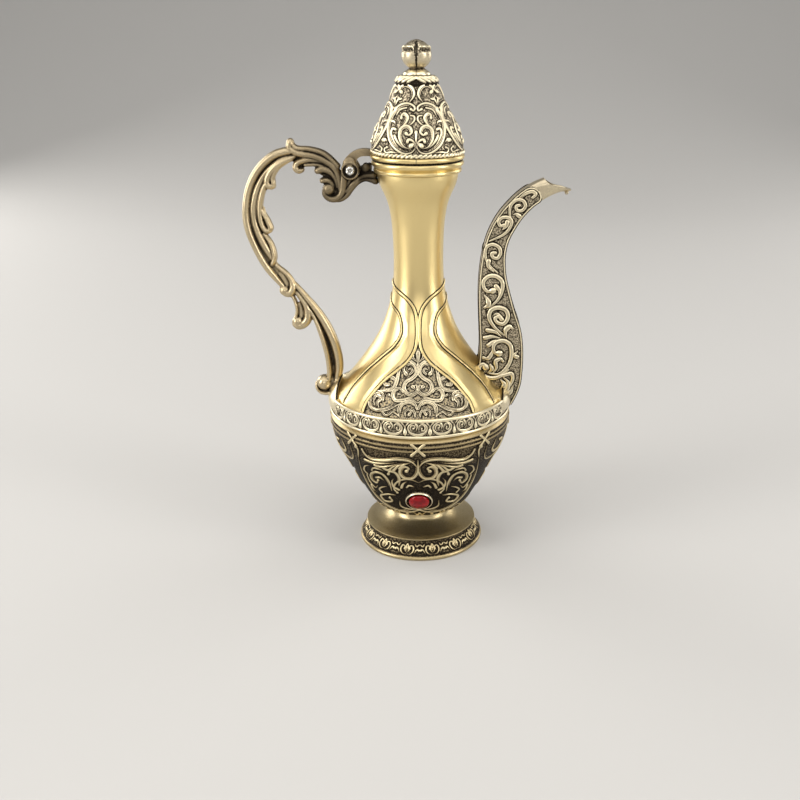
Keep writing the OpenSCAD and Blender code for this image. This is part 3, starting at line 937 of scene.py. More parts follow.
@dataclass
class Bowl:
    """Lower half of the body, blackened, with bright scrolls.

    The strokes of `panel` (front and back), `side` (under spout and handle), `leaf` and `bar` are
    distance to the right and distance up the surface. The first three hold left halves.
    """

    outline: tuple[Flat, ...] = (
        (17.2, 14.8), (18.6, 18), (21, 21.7), (25, 25.4), (30, 28.5), (36, 31.6), (42.3, 34.6),
        (48.5, 37.8), (54, 40.6), (59, 42.4), (64, 43.2), (68.4, 43.2),
    )
    cords: tuple[float, ...] = (3.2, 5.3, 7.4, 9.4)
    crossings: int = 8
    wall: float = 1.2
    widest: float = 43.2
    panel: tuple[Stroke, ...] = (
        Stroke(((-31.1, -5), (-30.9, -16.2), (-28.6, -25), (-23, -33.5), (-15, -39), (-6, -41), (0, -38)),
            Cut.STEM, 0, 1.1, 1.1),
        Stroke(((-31.2, -5), (-30.8, 0.6), (-32, 2)), Cut.STEM, 0.95),
        Stroke(((0, -5), (-3, -1.2), (-9, -0.2), (-16.7, -2), (-22.9, -2.6), (-26.5, -0.6), (-28.1, 1.6)),
            Cut.RIBBON, 0, 0.95),
        Stroke(((-10, -2.2), (-17, -4), (-22, -4.8), (-26.8, -4.2)), Cut.FROND, 0.45),
        Stroke(((-9, -2.8), (-14, -5.2), (-18.5, -6.6), (-21.2, -6.2)), Cut.FROND, 0.45),
        Stroke(((-7.6, -2.4), (-11.6, -5), (-14.4, -8), (-16.6, -7)), Cut.FROND, 0.45),
        Stroke(((-5.5, -2), (-9.4, -4.4), (-11.6, -7.6)), Cut.FROND, 0.4),
        Stroke(((-3, -1.6), (-6.6, -3.2), (-8.6, -5.8)), Cut.FROND, 0.4),
        Stroke(((0, -0.4), (-0.3, -8.3), (-2.8, -12.7), (-6.3, -12.9), (-8.5, -9.9), (-8.2, -6.2),
            (-6.3, -4.4), (-4.4, -5.4), (-5.4, -7.4)), Cut.RIBBON, 0.95, 0.9),
        Stroke(((-9.4, -19.3), (-9, -12.9), (-11, -9), (-13.6, -8.8), (-14.3, -11)),
            Cut.RIBBON, 0.85, 0.85),
        Stroke(((-13.3, -24.2), (-14.4, -17.2), (-17.6, -12), (-21.7, -11.8), (-24.6, -15.3),
            (-24.2, -19.3), (-21.6, -20.6), (-20.4, -18)), Cut.RIBBON, 0.8, 0.9),
        Stroke(((-21.1, -22.6), (-22.8, -25), (-26, -22), (-27.4, -17))),
        Stroke(((0, -16), (-3.5, -13.9), (-7.5, -14.2), (-10.8, -17.4), (-12, -22.4), (-10.4, -24.6)),
            Cut.STEM, 0.7),
        Stroke(((-2.2, -19.5), (-4.4, -18.4), (-5.6, -20)), Cut.STEM, 0.5),
        Stroke(((-11.6, -27), (-16, -27.6), (-20, -30.5), (-17.6, -34), (-13.5, -32.4), (-14.6, -30)),
            Cut.RIBBON, 0.8),
        Stroke(((-9.5, -31), (-9, -35.5), (-4.5, -37.5), (0, -36))),
        Stroke(((-24.6, -7.8), (-27.4, -9.4), (-28.6, -13.4), (-26.8, -15.6)), Cut.STEM, 0.6),
        Stroke(((-16.4, -9.4), (-19.4, -8.6), (-22.4, -9), (-23.4, -11)), Cut.STEM, 0.6),
        Stroke(((-11.4, -13.4), (-12.8, -16.6), (-12, -20.6), (-9.6, -22.2)), Cut.FROND, 0.5),
        Stroke(((-16.8, -17.6), (-19, -15.4), (-21.2, -16)), Cut.FROND, 0.55),
        Stroke(((-16, -21.6), (-18.6, -23), (-20.4, -25.4), (-19, -27.2)), Cut.STEM, 0.55),
        Stroke(((-5.4, -15.4), (-7.4, -17.6), (-8.2, -20.4)), Cut.FROND, 0.5),
        Stroke(((-22.6, -28.6), (-24.6, -27.4), (-25.4, -24.2)), Cut.FROND, 0.5),
    )
    side: tuple[Stroke, ...] = (
        Stroke(((-31, 1.5), (-30, -4), (-26, -8), (-19, -9), (-11, -7), (-6, -2), (-4.6, 3)),
            Cut.STEM, 0, 1.0),
        Stroke(((-23.6, 2), (-25, -2.4), (-21, -5.4), (-15.6, -4), (-15.6, -0.6), (-19, 0.2)),
            Cut.RIBBON, 0.8),
        Stroke(((0, -8), (-4.6, -6.6), (-8.4, -9), (-8, -13), (-4.4, -14.4), (-3, -11.6)),
            Cut.RIBBON, 0.9, 0.9),
        Stroke(((0, -20), (-5, -18), (-10.5, -19.5), (-13.6, -15.5), (-12.6, -9.8)),
            Cut.RIBBON, 0.7),
        Stroke(((0, -30), (-3.8, -26.6), (-3.4, -22.4), (0, -20.4))),
        Stroke(((0, -38), (-5.2, -33.6), (-9.6, -28), (-8, -24)), Cut.FROND, 0.6),
    )
    leaf: tuple[Stroke, ...] = (
        Stroke(((0, -47.5), (-4.2, -44.5), (-3.6, -41), (0, -38.8))),
        Stroke(((-5.2, -47.6), (-6.8, -44), (-6.2, -41.6)), Cut.FROND, 0.45),
        Stroke(((0, -46), (0, -41.6)), Cut.SPEAR),
    )
    bar: Stroke = Stroke(((-2.8, 2.6), (0, 5.3), (2.8, 8)), Cut.CROSS)

    def surface(self) -> Turned:
        """The bowl's outside, measured from the height of its widest part."""
        return Turned(self.outline, 60, 0.55)

    def shell(self, surface: Turned) -> Piece:
        """Models the sheet with its seam edge and its floor.

        Args:
            surface: its outside.

        Returns:
            The shell, still without its cords.
        """
        line = surface.line[surface.line[:, 1] > 15]
        outside = [(r, z) for z, r in line]
        seam = [(42.2, 69.8), (42.2, 75), (41, 75), (41, 69.2)]
        inside = [(r, z) for r, z in inward(surface.line, self.wall) if 21 < z < 68]
        floor = [(16, 19.4), (13, 18.4), (0, 18.4), (0, 17.2), (14.8, 17.2)]
        return spun("chased_bowl", outside + seam + inside + floor, 480)

    def build(self, finish: Material) -> None:
        """Makes the bowl and its ornament.

        Args:
            finish: its brass.
        """
        surface = self.surface()
        shell = self.shell(surface)
        panels = Ornament("bowl_scrolls", wider(both(self.panel), 1.25), surface.around(2))
        sides = Ornament("bowl_side_scrolls", wider(both(self.side), 1.25),
                         surface.around(2, 0.5))
        leaves = Ornament("bowl_leaves", both(self.leaf), surface.around(12, 0.5))
        crosses = Ornament("bowl_crossings", both([self.bar]), surface.around(self.crossings),
                           0.8, 0.45)
        points = coordinates(shell)
        _, s, off = surface.read(points)
        face = np.abs(off) < 0.2
        low, high = self.cords[0], self.cords[-1]
        across = np.interp(s, self.cords, np.arange(len(self.cords))) % 1
        cord = np.sin(np.pi * across) * (s > low) * (s < high)
        points[:, :2] *= (1 + np.where(face, 0.55 * cord, 0) / self.widest)[:, None]
        set_coordinates(shell, points)
        shade = np.maximum(panels.shadow(points, 0.7), sides.shadow(points, 0.7))
        patina_and_shade = np.where(s < low, 0.6 + 0.34 * shade, 1.0 - 0.85 * cord**1.4)
        # Darker towards the bottom of the bowl.
        patina_and_shade += 0.24 * smoothstep(-s, 2, 16) * (s < low)
        set_patina_and_shade(shell, np.where(face, patina_and_shade, 0.15))
        finish_piece(shell, Body.POT, Slot.DARK, finish, "bowl")
        for work in (panels, sides, leaves, crosses):
            work.dress(Body.POT, Slot.DARK, finish, "bowl")


@dataclass
class Stones:
    """Round red cabochons in rimmed settings, front and back, that look downwards."""

    radius: float = 4.9
    height: float = 33.4
    reach: float = 30.3
    tilt: float = 28

    def setting(self, turn: float) -> Matrix:
        """Place of a stone: +Z points out of the bowl.

        Args:
            turn: angle round the axis, in degrees.

        Returns:
            The transform.
        """
        around = Matrix.Rotation(math.radians(turn), 4, "Z")
        out = Matrix.Rotation(math.radians(90 + self.tilt), 4, "X")
        return around @ Matrix.Translation((0, -self.reach, self.height)) @ out

    def stone(self, turn: float, finish: Material) -> None:
        """Models one cabochon.

        Args:
            turn: angle round the axis, in degrees.
            finish: its glass.
        """
        dome = arc((0, 1.3), self.radius - 0.02, np.arange(0, 91, 7.5), 2.2)
        dome[-1] = (0, dome[-1][1])
        thing = spun(f"ruby_{turn}", [(0, 0.42), (4.6, 0.42), (4.88, 0.7)] + dome, 96, False)
        thing.data.transform(self.setting(turn))
        finish_piece(thing, Body.POT, Slot.STONE, finish, "stones", angle=50)

    def bezel(self, turn: float, finish: Material) -> None:
        """Models one setting: a dark channel inside a thin bright rim.

        Args:
            turn: angle round the axis, in degrees.
            finish: its brass.
        """
        outline = [(4.93, 0.4), (4.94, 1.0), (5.15, 0.85), (5.5, 0.45), (5.85, 0.5), (5.95, 1.1),
                   (6.15, 1.35), (6.4, 1.3), (6.55, 1.0), (6.6, 0.2), (6.55, -2.6), (5.6, -2.6),
                   (5.2, -0.6), (4.6, 0.3)]
        thing = spun(f"setting_{turn}", outline, 128)
        points = coordinates(thing)
        reach = np.hypot(points[:, 0], points[:, 1])
        set_patina_and_shade(thing, fade(reach, 5.9, 6.1) + 0.8 * fade(points[:, 2], 0.4, 1.0))
        thing.data.transform(self.setting(turn))
        finish_piece(thing, Body.POT, Slot.RELIEF, finish, "stone_bezels", angle=50)

    def build(self, glass: Material, relief: Material) -> None:
        """Makes both stones and their settings.

        Args:
            glass: finish of the stones.
            relief: finish of the settings.
        """
        for turn in (0, 180):
            self.stone(turn, glass)
            self.bezel(turn, relief)


@dataclass
class Belt:
    """Belt of medallions over the seam of the body.

    The medallions stand at `divisions` steps round it, `shown` of them on each side of the front
    one. `sector` is half the angle that a lobe covers, and `bead` the radius of a bead's section.
    """

    low: float = 71.2
    high: float = 79.2
    face: float = 43.25
    bead: float = 0.8
    divisions: int = 24
    shown: int = 4
    sector: float = 26

    def medallion(self) -> list[Stroke]:
        """Strokes of one medallion: curls in a ring that sits in a crescent.

        Returns:
            The strokes.
        """
        turn = np.linspace(0, math.tau, 25)
        ring = tuple((4.3 * math.sin(a), 2.95 * math.cos(a) + 4.55) for a in turn)
        under = tuple((4.5 * math.sin(a), 3.6 * math.cos(a) + 4.5) for a in turn[7:18])
        return [
            Stroke(ring, Cut.WIRE, 0, 0, 1.15),
            Stroke(under, Cut.WIRE, 0, 0, 1.0),
            Stroke(((-1.6, 2.6), (-2.9, 3.4), (-3.3, 4.7), (-2.7, 5.9), (-1.6, 6), (-1.2, 5.1),
                    (-1.8, 4.5)), Cut.STEM, 0.5, 0, 0.8),
            Stroke(((-0.6, 2.3), (-0.5, 4), (-0.1, 5.6), (-0.8, 6.6)), Cut.FROND, 0.45, 0, 0.7),
            Stroke(((0.9, 2.2), (0.6, 3.9), (0.9, 5.8), (2, 6.5), (3.1, 5.8), (3.4, 4.5), (2.8, 3.4),
                    (1.9, 3.7), (1.9, 4.6)), Cut.STEM, 0.45, 0, 0.8),
        ]

    def divider(self) -> list[Stroke]:
        """Strokes between two medallions: a drop and a fork."""
        return both([Stroke(((0, 4.4), (-0.5, 5.9), (-1.5, 7.2)), Cut.FROND, 0, 0, 0.55),
                     Stroke(((0, 5.6), (0, 3.4), (0, 1.1)), Cut.SPEAR, 0, 0, 0.95)])

    def lobe(self, side: int, finish: Material) -> None:
        """Models the plain pointed lobe that covers the joint under spout or handle.

        Args:
            side: 1 under the spout, -1 under the handle.
            finish: its material.
        """
        bpy.ops.mesh.primitive_uv_sphere_add(segments=96, ring_count=64, radius=1)
        drop = bpy.context.view_layer.objects.active
        drop.name = drop.data.name = "spout_lobe" if side > 0 else "handle_lobe"
        x, y, z = coordinates(drop).T
        up = np.maximum(z, 0)
        rise = 10.5 if side < 0 else 8.0
        height = 76 + np.where(z > 0, rise, 4.4) * z
        angle = np.radians(self.sector * y * (1 - 0.7 * up**1.6))
        skin = ((71, 44), (74, 44), (77, 43.8), (79, 43.4), (81, 42.5), (84, 40.6), (87, 38.6))
        reach = np.interp(height, *zip(*skin)) + 2.0 * x - 1.2
        around = [side * reach * np.cos(angle), reach * np.sin(angle), height]
        set_coordinates(drop, np.stack(around, 1))
        if side < 0:
            edit(drop, bpy.ops.mesh.flip_normals)
        set_patina_and_shade(drop, fade(np.abs(x), 0.12, 0.3) + 0.14)
        finish_piece(drop, Body.POT, Slot.RELIEF, finish, "belt", angle=60)

    def shell(self) -> Piece:
        """Models the turned belt with its two beads.

        Returns:
            The shell.
        """
        middle = self.face - 0.1
        upper = arc((middle, self.high), self.bead, np.arange(-60, 150, 18))
        lower = arc((middle, self.low), self.bead, np.arange(-150, 61, 18))
        face = [(self.face, z) for z in np.arange(self.low + 0.75, self.high - 0.7, 0.35)]
        back = [(42.3, self.high + 0.2), (42.3, 75), (42.3, self.low - 0.1)]
        return spun("turned_belt", lower + face + upper + back, 360)

    def build(self, relief: Material) -> None:
        """Makes the belt and its ornament.

        Args:
            relief: its brass.
        """
        surface = Turned(((self.low, self.face), (75, self.face), (self.high, self.face)),
                         self.low, 0.4)
        spots, gaps = ([surface.at(360 / self.divisions * i + side) for side in (0, 180)
                        for i in np.arange(-last, last + 0.5)]
                       for last in (self.shown, self.shown - 0.5))
        medallions = Ornament("belt_medallions", wider(self.medallion(), 1.15), spots,
                              0.85, 0.05, 0.16)
        dividers = Ornament("belt_leaves", wider(self.divider(), 1.25), gaps, 0.8, 0.05, 0.2)
        shell = self.shell()
        points = coordinates(shell)
        _, s, _ = surface.read(points)
        off = np.hypot(points[:, 0], points[:, 1]) - self.face
        on_face = (np.abs(off) < 0.05) & (s > 0.7) & (s < 7.3)
        shade = np.maximum(medallions.shadow(points, 0.45), dividers.shadow(points, 0.45))
        edge = peak(s, 0.75, 0.3) + peak(s, 7.25, 0.3)
        ground = np.where(on_face, 0.27 + 0.3 * shade, 0.06)
        ground += np.where(np.abs(off) < 0.12, 0.7 * edge, 0)
        turn = np.abs(np.degrees(np.arctan2(points[:, 1], np.abs(points[:, 0]))))
        room = np.interp(points[:, 2], (72.5, 77, 79, 82), (46, 42.2, 41.2, 39.8))
        limit = np.where(turn < self.sector - 1.5, room, 99)
        points[:, :2] *= np.minimum(1, limit / (off + self.face))[:, None]
        set_coordinates(shell, points)
        set_patina_and_shade(shell, ground)
        finish_piece(shell, Body.POT, Slot.RELIEF, relief, "belt")
        for work in (medallions, dividers):
            work.dress(Body.POT, Slot.RELIEF, relief, "belt")
        for side in (-1, 1):
            self.lobe(side, relief)


@dataclass
class ShoulderNeck:
    """Upper half of the body: petals framed by raised lines, and a plain neck.

    The inner and outer lines are distances across and up the surface.
    """

    knots: tuple[Flat, ...] = (
        (75, 42.2), (79, 41.6), (82.5, 38), (88.1, 33.2), (95, 27.9), (102.8, 22.5), (110, 18.4),
        (117, 15.6), (124.1, 13.5), (131.1, 12.2), (140.8, 11.6), (151.7, 11.7), (162.4, 12.4),
        (170.3, 13.9), (175, 15.8), (178.5, 17.4), (181.5, 18.2), (183.5, 18.4), (189.4, 18.4),
    )
    inner: tuple[Flat, ...] = (
        (19.2, 63.6), (14.1, 61.5), (6.2, 57.9), (2.5, 54.1), (0.9, 49.6), (0.55, 45.1),
        (0.65, 38.5), (1.6, 33.9), (4.7, 28.5), (10.1, 23.3), (17.2, 16.9), (22.4, 10.6),
        (25.7, 5.9), (27, 2.2), (27.2, 1),
    )
    outer: tuple[Flat, ...] = (
        (21.2, 57), (16.5, 53.7), (10, 50), (8.2, 45.1), (8.4, 40.6), (11.9, 34.9), (20, 27.7),
        (31.2, 18.1), (38.7, 10.2), (42.5, 3.2), (42.9, 1.2),
    )
    wall: float = 1.2
    panel: tuple[Stroke, ...] = (
        Stroke(((0, 25.3), (-1.4, 27.2), (-3.2, 28.4)), Cut.FROND, 0.7),
        Stroke(((-0.4, 28.2), (-2.4, 30.2), (-2.6, 31.4)), Cut.FROND, 0.5),
        Stroke(((-2.3, 16.4), (-0.7, 17.3), (-0.5, 14.6), (-2.4, 12.9), (-5, 13.5), (-6.2, 15.8),
            (-5.2, 18.4), (-2.4, 20.3), (-0.5, 22.7), (-0.8, 26), (-3.1, 27.9), (-5.9, 26.7),
            (-6.7, 24.2), (-5.6, 22.4)), Cut.RIBBON, 0.95, 0.95),
        Stroke(((-1.2, 15.2), (-2.4, 16.4)), Cut.STEM, 0.9),
        Stroke(((-4.6, 24.4), (-3.2, 25.2), (-2.6, 23.6), (-3.8, 22.4)), Cut.STEM, 0.5),
        Stroke(((-3.4, 29.2), (-6.7, 27.6), (-8.7, 24.1), (-9.7, 18.7), (-11.4, 14.8), (-14.1, 13.4),
            (-18.6, 12.5)), Cut.RIBBON, 0, 0.95),
        Stroke(((-9.8, 17.6), (-11.3, 19.8), (-14, 19.9), (-16.1, 18.1), (-16, 15.8), (-14.1, 16.4)),
            Cut.RIBBON, 0.9, 0.85),
        Stroke(((-0.3, 8.8), (-3.4, 10.4), (-6.6, 9.5), (-10.7, 9.3), (-11.8, 11.7), (-11, 14.3),
            (-8.6, 15.3), (-6.8, 13.9)), Cut.RIBBON, 0.75, 0.85),
        Stroke(((-8.6, 7.7), (-11.9, 5.8), (-15.3, 4), (-20.3, 3), (-23.3, 4.1), (-24.3, 6.5), (-23, 9.8),
            (-19.3, 12.1), (-16.6, 11.2), (-16.8, 8.9)), Cut.RIBBON, 0.85, 0.95),
        Stroke(((-20.8, 4.9), (-21.7, 7.4), (-20.3, 10), (-18, 9.9)), Cut.FROND, 0.4),
        Stroke(((-18.6, 4.6), (-19.4, 7), (-18.3, 8.4)), Cut.FROND, 0.4),
        Stroke(((-8.5, 1.6), (-8.8, 5.3), (-7.3, 8), (-4.3, 9.3), (-1.5, 8.3), (-0.3, 5.7)),
            Cut.RIBBON, 0, 0.9),
        Stroke(((-5.6, 1.8), (-5.7, 4.2), (-4.2, 5.4), (-2.9, 4.4), (-3.7, 2.9)),
            Cut.STEM, 0.75),
        Stroke(((-1.2, 1.6), (-1.2, 3.2), (-2.1, 5.2)), Cut.STEM, 0.4),
        Stroke(((-8.4, 1.4), (-10, 3), (-12, 3.5), (-13.6, 2), (-15.2, 1.4), (-16.8, 3)),
            Cut.STEM, 0.45),
        Stroke(((-12.4, 10.9), (-14, 11.6)), Cut.STEM, 0.5),
        Stroke(((-9.6, 12.4), (-8.4, 12.6)), Cut.STEM, 0.5),
        Stroke(((0, 26), (0, 30), (0, 34.2)), Cut.SPEAR),
    )

    def surface(self) -> Turned:
        """Outside of shoulder and neck, measured from the top of the belt."""
        return Turned(self.knots, 79, 0.5)

    def frame(self) -> list[Stroke]:
        """The raised lines round the petals.

        Returns:
            The strokes.
        """
        return both([
            Stroke(tuple((-u, s) for u, s in line), Cut.EDGE, 0, 0, width)
            for line, width in ((self.inner, 1.7), (self.outer, 1.25))
        ])

    def raised(self, across: np.ndarray, s: np.ndarray) -> tuple[np.ndarray, np.ndarray]:
        """Height of the sheet between the lines, and where the panel's ground lies.

        Args:
            across: distance from the middle of the nearer panel.
            s: distance up the surface.

        Returns:
            Height off the surface, and 1 on the ground of the panel.
        """
        near, far = (np.interp(s, [v for _, v in line[::-1]], [u for u, _ in line[::-1]])
                     for line in (self.inner, self.outer))
        edge = np.minimum(across - near, far - across) - 1.1
        petal = smoothstep(edge, 0, 2.6) * smoothstep(s, 0.2, 4) * fade(s, 44, 56)
        ground = (across < near - 0.3) & (s < 40) & (s > 0.2)
        return 0.45 * petal - 0.35 * ground, ground.astype(float)

    def shell(self, surface: Turned) -> Piece:
        """Models the sheet with its mouth.

        Args:
            surface: its outside.

        Returns:
            The shell, still smooth.
        """
        fine = surface.s < 66
        line = np.vstack([surface.line[fine], surface.line[~fine][::3], surface.line[-1:]])
        outside = [(r, z) for z, r in line]
        inside = [(r, z) for r, z in inward(line, self.wall) if 77 < z < 188]
        return spun("turned_neck", outside + [(17.2, 189.4)] + inside + [(41, 77), (41, 75)], 400)

    def build(self, plain: Material, relief: Material) -> None:
        """Makes shoulder and neck.

        Args:
            plain: finish of the sheet.
            relief: finish of the scrolls.
        """
        surface = self.surface()
        shell = self.shell(surface)
        points = coordinates(shell)
        angle, s, off = surface.read(points)
        fold = np.where(np.abs(angle) > math.pi / 2, math.pi - np.abs(angle), np.abs(angle))
        radius = np.interp(s, surface.s, surface.r)
        height, ground = self.raised(fold * radius, s)
        face = (np.abs(off) < 0.15) & (s > 0.2)
        reach = np.hypot(points[:, 0], points[:, 1])
        push = np.where(face, height, 0)
        out_r, out_z = (np.interp(s, surface.s, v) for v in (surface.out_r, surface.out_z))
        points[:, :2] *= (1 + push * out_r / np.maximum(reach, 1))[:, None]
        points[:, 2] += push * out_z
        set_coordinates(shell, points)
        places = surface.around(2)
        lines = Ornament("shoulder_lines", self.frame(), places, 0.75, 0.08, 0.42)
        scrolls = Ornament("shoulder_scrolls", wider(both(self.panel), 1.3), places, 0.9, -0.28, 0.3,
                           0.55)
        patina_and_shade = ground * (0.47 + 0.3 * scrolls.shadow(points, 0.6)) + 0.02
        set_patina_and_shade(shell, np.where(face, patina_and_shade, 0.1))
        finish_piece(shell, Body.POT, Slot.PLAIN, plain, "shoulder_neck")
        lines.dress(Body.POT, Slot.PLAIN, plain, "shoulder_neck")
        scrolls.dress(Body.POT, Slot.RELIEF, relief, "shoulder_neck")


@dataclass
class Collar:
    """Two turned beads round the mouth."""

    mouth: float = 18.4
    top: float = 189.4

    def build(self, plain: Material) -> None:
        """Makes the collar.

        Args:
            plain: its brass.
        """
        upper = arc((self.mouth + 1.1, self.top - 1.4), 1.4, np.arange(90, -71, -12))
        lower = arc((self.mouth + 0.5, self.top - 4.5), 1.1, np.arange(60, -100, -12))
        outline = [(self.mouth, self.top)] + upper + lower + [(self.mouth, self.top - 5.7)]
        thing = spun("mouth_beads", outline, 240)
        under = coordinates(thing)[:, 2] - self.top
        set_patina_and_shade(thing, 0.45 * peak(under, -3.1, 0.35) + 0.3 * peak(under, -5.6, 0.3)
                   + smoothstep(under, -0.4, -0.15))
        finish_piece(thing, Body.POT, Slot.PLAIN, plain, "mouth_collar")


# ---- lid


def rope(name: str, radius: float, height: float, thick: float, strands: int, lean: float,
         squash: float = 1.0, tilt: float = 0.0, fill: float = 0.8,
         mirror: bool = False) -> Piece:
    """Ring of slanted strands.

    Args:
        name: its name.
        radius: radius of the ring's middle.
        height: height of the ring's middle.
        thick: radius of the ring's section.
        strands: strands around.
        lean: how far a strand runs round the ring while it crosses it, in degrees.
        squash: height of the section to its depth.
        tilt: how far the section leans to the axis, in degrees.
        fill: width of a strand to the space it has.
        mirror: whether the strands meet in a point at the front and the back.

    Returns:
        The object.
    """
    runs = []
    cos, sin = math.cos(math.radians(tilt)), math.sin(math.radians(tilt))
    for i in range(strands):
        a = math.tau * (i + 0.5) / strands
        way = -1 if mirror and math.sin(a) > 0 else 1
        t = np.linspace(-1, 1, 9)
        roll = np.radians(85 * t)
        at = a + way * math.radians(lean) * t
        out, up = thick * np.cos(roll), squash * thick * np.sin(roll)
        reach = radius + out * cos - up * sin
        line = np.stack([reach * np.sin(at), -reach * np.cos(at), height + out * sin + up * cos], 1)
        half = fill * math.pi * radius / strands * np.sqrt(np.maximum(1 - t**4, 0.1))
        runs.append((line, half))
    return piped(name, runs, 1)


@dataclass
class Lid:
    """Domed lid: plain moulding, rope, chased dome of four panels, and crown rope."""

    crown: Flat = (7.75, 223.5)
    lean: float = 46
    seam: float = 0.22
    outline: tuple[Flat, ...] = (
        (193.7, 20.6), (198.7, 19.9), (202.1, 18.8), (206.4, 16.8), (210.7, 14.4), (214.1, 12.7),
        (217.5, 11.3), (220.6, 9.9), (222.6, 8.6), (223.6, 7.2),
    )
    panel: tuple[Stroke, ...] = (
        Stroke(((-3, 23), (-1.5, 24.8), (-0.9, 27.1), (-2, 29.6), (-4.4, 30.7), (-6.8, 29.9),
            (-7.7, 28.4), (-6.8, 27.3)), Cut.RIBBON, 1.05, 0.9),
        Stroke(((-9, 26.3), (-7.9, 24.1), (-6.7, 24.4)), Cut.STEM, 0.5),
        Stroke(((-1.1, 4.7), (-0.4, 3.2), (-1.8, 1.2), (-4.9, 0.5), (-8.4, 1.8), (-11.4, 4.4), (-13, 7.6),
            (-13.4, 11.1), (-12.7, 14.5), (-10.7, 18.2), (-8.1, 21.1), (-4.8, 22.4), (-2.3, 22.1),
            (-0.6, 20.7), (-1, 19.2), (-2.2, 19.8)),
            Cut.RIBBON, 0.7, 0.95),
        Stroke(((-0.9, 3.4), (-1.3, 4.7), (-2.3, 3.8)), Cut.STEM, 1.15),
        Stroke(((-9.6, 15.8), (-7.4, 19.4), (-4.2, 20.5))),
        Stroke(((-6.4, 11.8), (-4.3, 14), (-3.6, 16.4), (-4.9, 17.9), (-6.4, 17.2), (-6.5, 15.8)),
            Cut.RIBBON, 0.75, 0.8),
        Stroke(((-3.6, 12.5), (-2, 13.3), (-0.7, 15.1), (-0.9, 16.7), (-2.4, 17)), Cut.STEM, 0.4),
        Stroke(((-2.5, 2.5), (-5.1, 3.3), (-6.8, 5.5), (-7.5, 8.2), (-6.6, 11.3), (-4.2, 12.4),
            (-2.2, 11.3), (-1.9, 9.5), (-3.2, 8.3), (-4.3, 9)), Cut.RIBBON, 0.9, 0.85),
        Stroke(((0, 2.8), (-0.8, 5.2), (-2.2, 6.3), (-3.5, 6.3), (-3.7, 5.4)), Cut.FROND, 0.55),
        Stroke(((-5.1, 1.5), (-8.6, 3.8), (-10.6, 6.8), (-11.5, 9.2), (-10.6, 11), (-9.3, 10.6)),
            Cut.FROND, 0.7),
        Stroke(((-4.1, 2.1), (-7.1, 4.1), (-8.9, 6.3), (-9.7, 7.8)), Cut.FROND, 0.65),
        Stroke(((-9.2, 12.2), (-10, 14), (-11.6, 14.2)), Cut.FROND, 0.45),
        Stroke(((-7.6, 0.7), (-11.4, 0.9), (-14.6, 0.6), (-15.2, 2), (-13.6, 2.8)),
            Cut.STEM, 0.6),
        Stroke(((-13.2, 4.4), (-14.8, 6.2), (-16, 5.4)), Cut.FROND, 0.45),
        Stroke(((-10.4, 21.2), (-10.3, 23.4), (-10.9, 25.4)), Cut.LEAF, 0, 0, 0.7),
        Stroke(((-12.6, 17), (-12.5, 19.4), (-11.4, 20.2)), Cut.FROND, 0.45),
        Stroke(((0, 3.4), (0, 6.5), (0, 9.6)), Cut.FROND, 0.85, 0, 0.9),
    )

    def build(self, relief: Material, plain: Material) -> None:
        """Makes the lid.

        Args:
            relief: finish of the dome and the ropes.
            plain: finish of the moulding.
        """
        surface = Turned(self.outline, 193.7, 0.34)
        outside = [(r, z) for z, r in surface.line]
        inside = [(r, z) for r, z in inward(surface.line, 1.2) if 194.4 < z < 220.8]
        top = [(1.52, 223.6), (1.52, 222), (3.6, 222)]
        dome = spun("chased_dome", outside + top + inside + [(19.7, 193.7)], 384)
        panels = Ornament("dome_scrolls", both(self.panel), surface.around(4))
        points = coordinates(dome)
        _, s, off = surface.read(points)
        patina_and_shade = np.where(np.abs(off) < 0.2, 0.44 + 0.42 * panels.shadow(points, 0.5), 0.2)
        set_patina_and_shade(dome, np.where(s > 31.4, 0.25, patina_and_shade))
        finish_piece(dome, Body.LID, Slot.RELIEF, relief, "lid_dome")
        panels.dress(Body.LID, Slot.RELIEF, relief, "lid_dome")
        self.rim(relief, plain)

    def rim(self, relief: Material, plain: Material) -> None:
        """Makes the moulding, its rope and the rope at the crown.

        Args:
            relief: finish of the ropes.
            plain: finish of the moulding.
        """
        bulge = arc((20.05, 190.85), 1.25, np.arange(-90, 91, 12))
        seat = [(20.1, 192.25), (20.2, 193.2), (20.2, 193.9), (18.9, 193.7), (18.9, 189.6)]
        ring = spun("lid_moulding", bulge + seat, 288)
        x, _, z = coordinates(ring).T
        set_patina_and_shade(ring, 0.85 * smoothstep(z, 191.9, 192.3) + 0.5 * peak(x, 0, self.seam)
                   + fade(z, 189.85, 190.15))
        cord = rope("rim_rope", 20.1, 193.05, 0.8, 60, 5.5, 0.9, 0, 0.5)
        set_patina_and_shade(cord, 0.9 - (np.hypot(*coordinates(cord)[:, :2].T) - 20.5) / 0.5)
        crown = spun("crown_band", [(9.4, 220.7), (9.8, 221.6), (9.5, 222.9), (8.3, 224.4),
                                    (6.9, 225.4), (5, 225.6), (5, 223.9), (6.4, 222.6)], 144)
        set_patina_and_shade(crown, np.full(len(crown.data.vertices), 0.98))
        reach, height = self.crown
        twist = rope("crown_rope", reach, height, 1.0, 22, 22, 1.75, self.lean, 0.68, True)
        x, y, z = coordinates(twist).T
        lean = math.radians(self.lean)
        rise = (np.hypot(x, y) - reach) * math.cos(lean) + (z - height) * math.sin(lean)
        set_patina_and_shade(twist, 0.95 - (rise - 0.45) / 0.75)
        finish_piece(ring, Body.LID, Slot.PLAIN, plain, "lid_rim")
        finish_piece(cord, Body.LID, Slot.PLAIN, relief, "lid_rim", angle=60)
        finish_piece(crown, Body.LID, Slot.RELIEF, relief, "crown_ring")
        finish_piece(twist, Body.LID, Slot.RELIEF, relief, "crown_ring", angle=60)


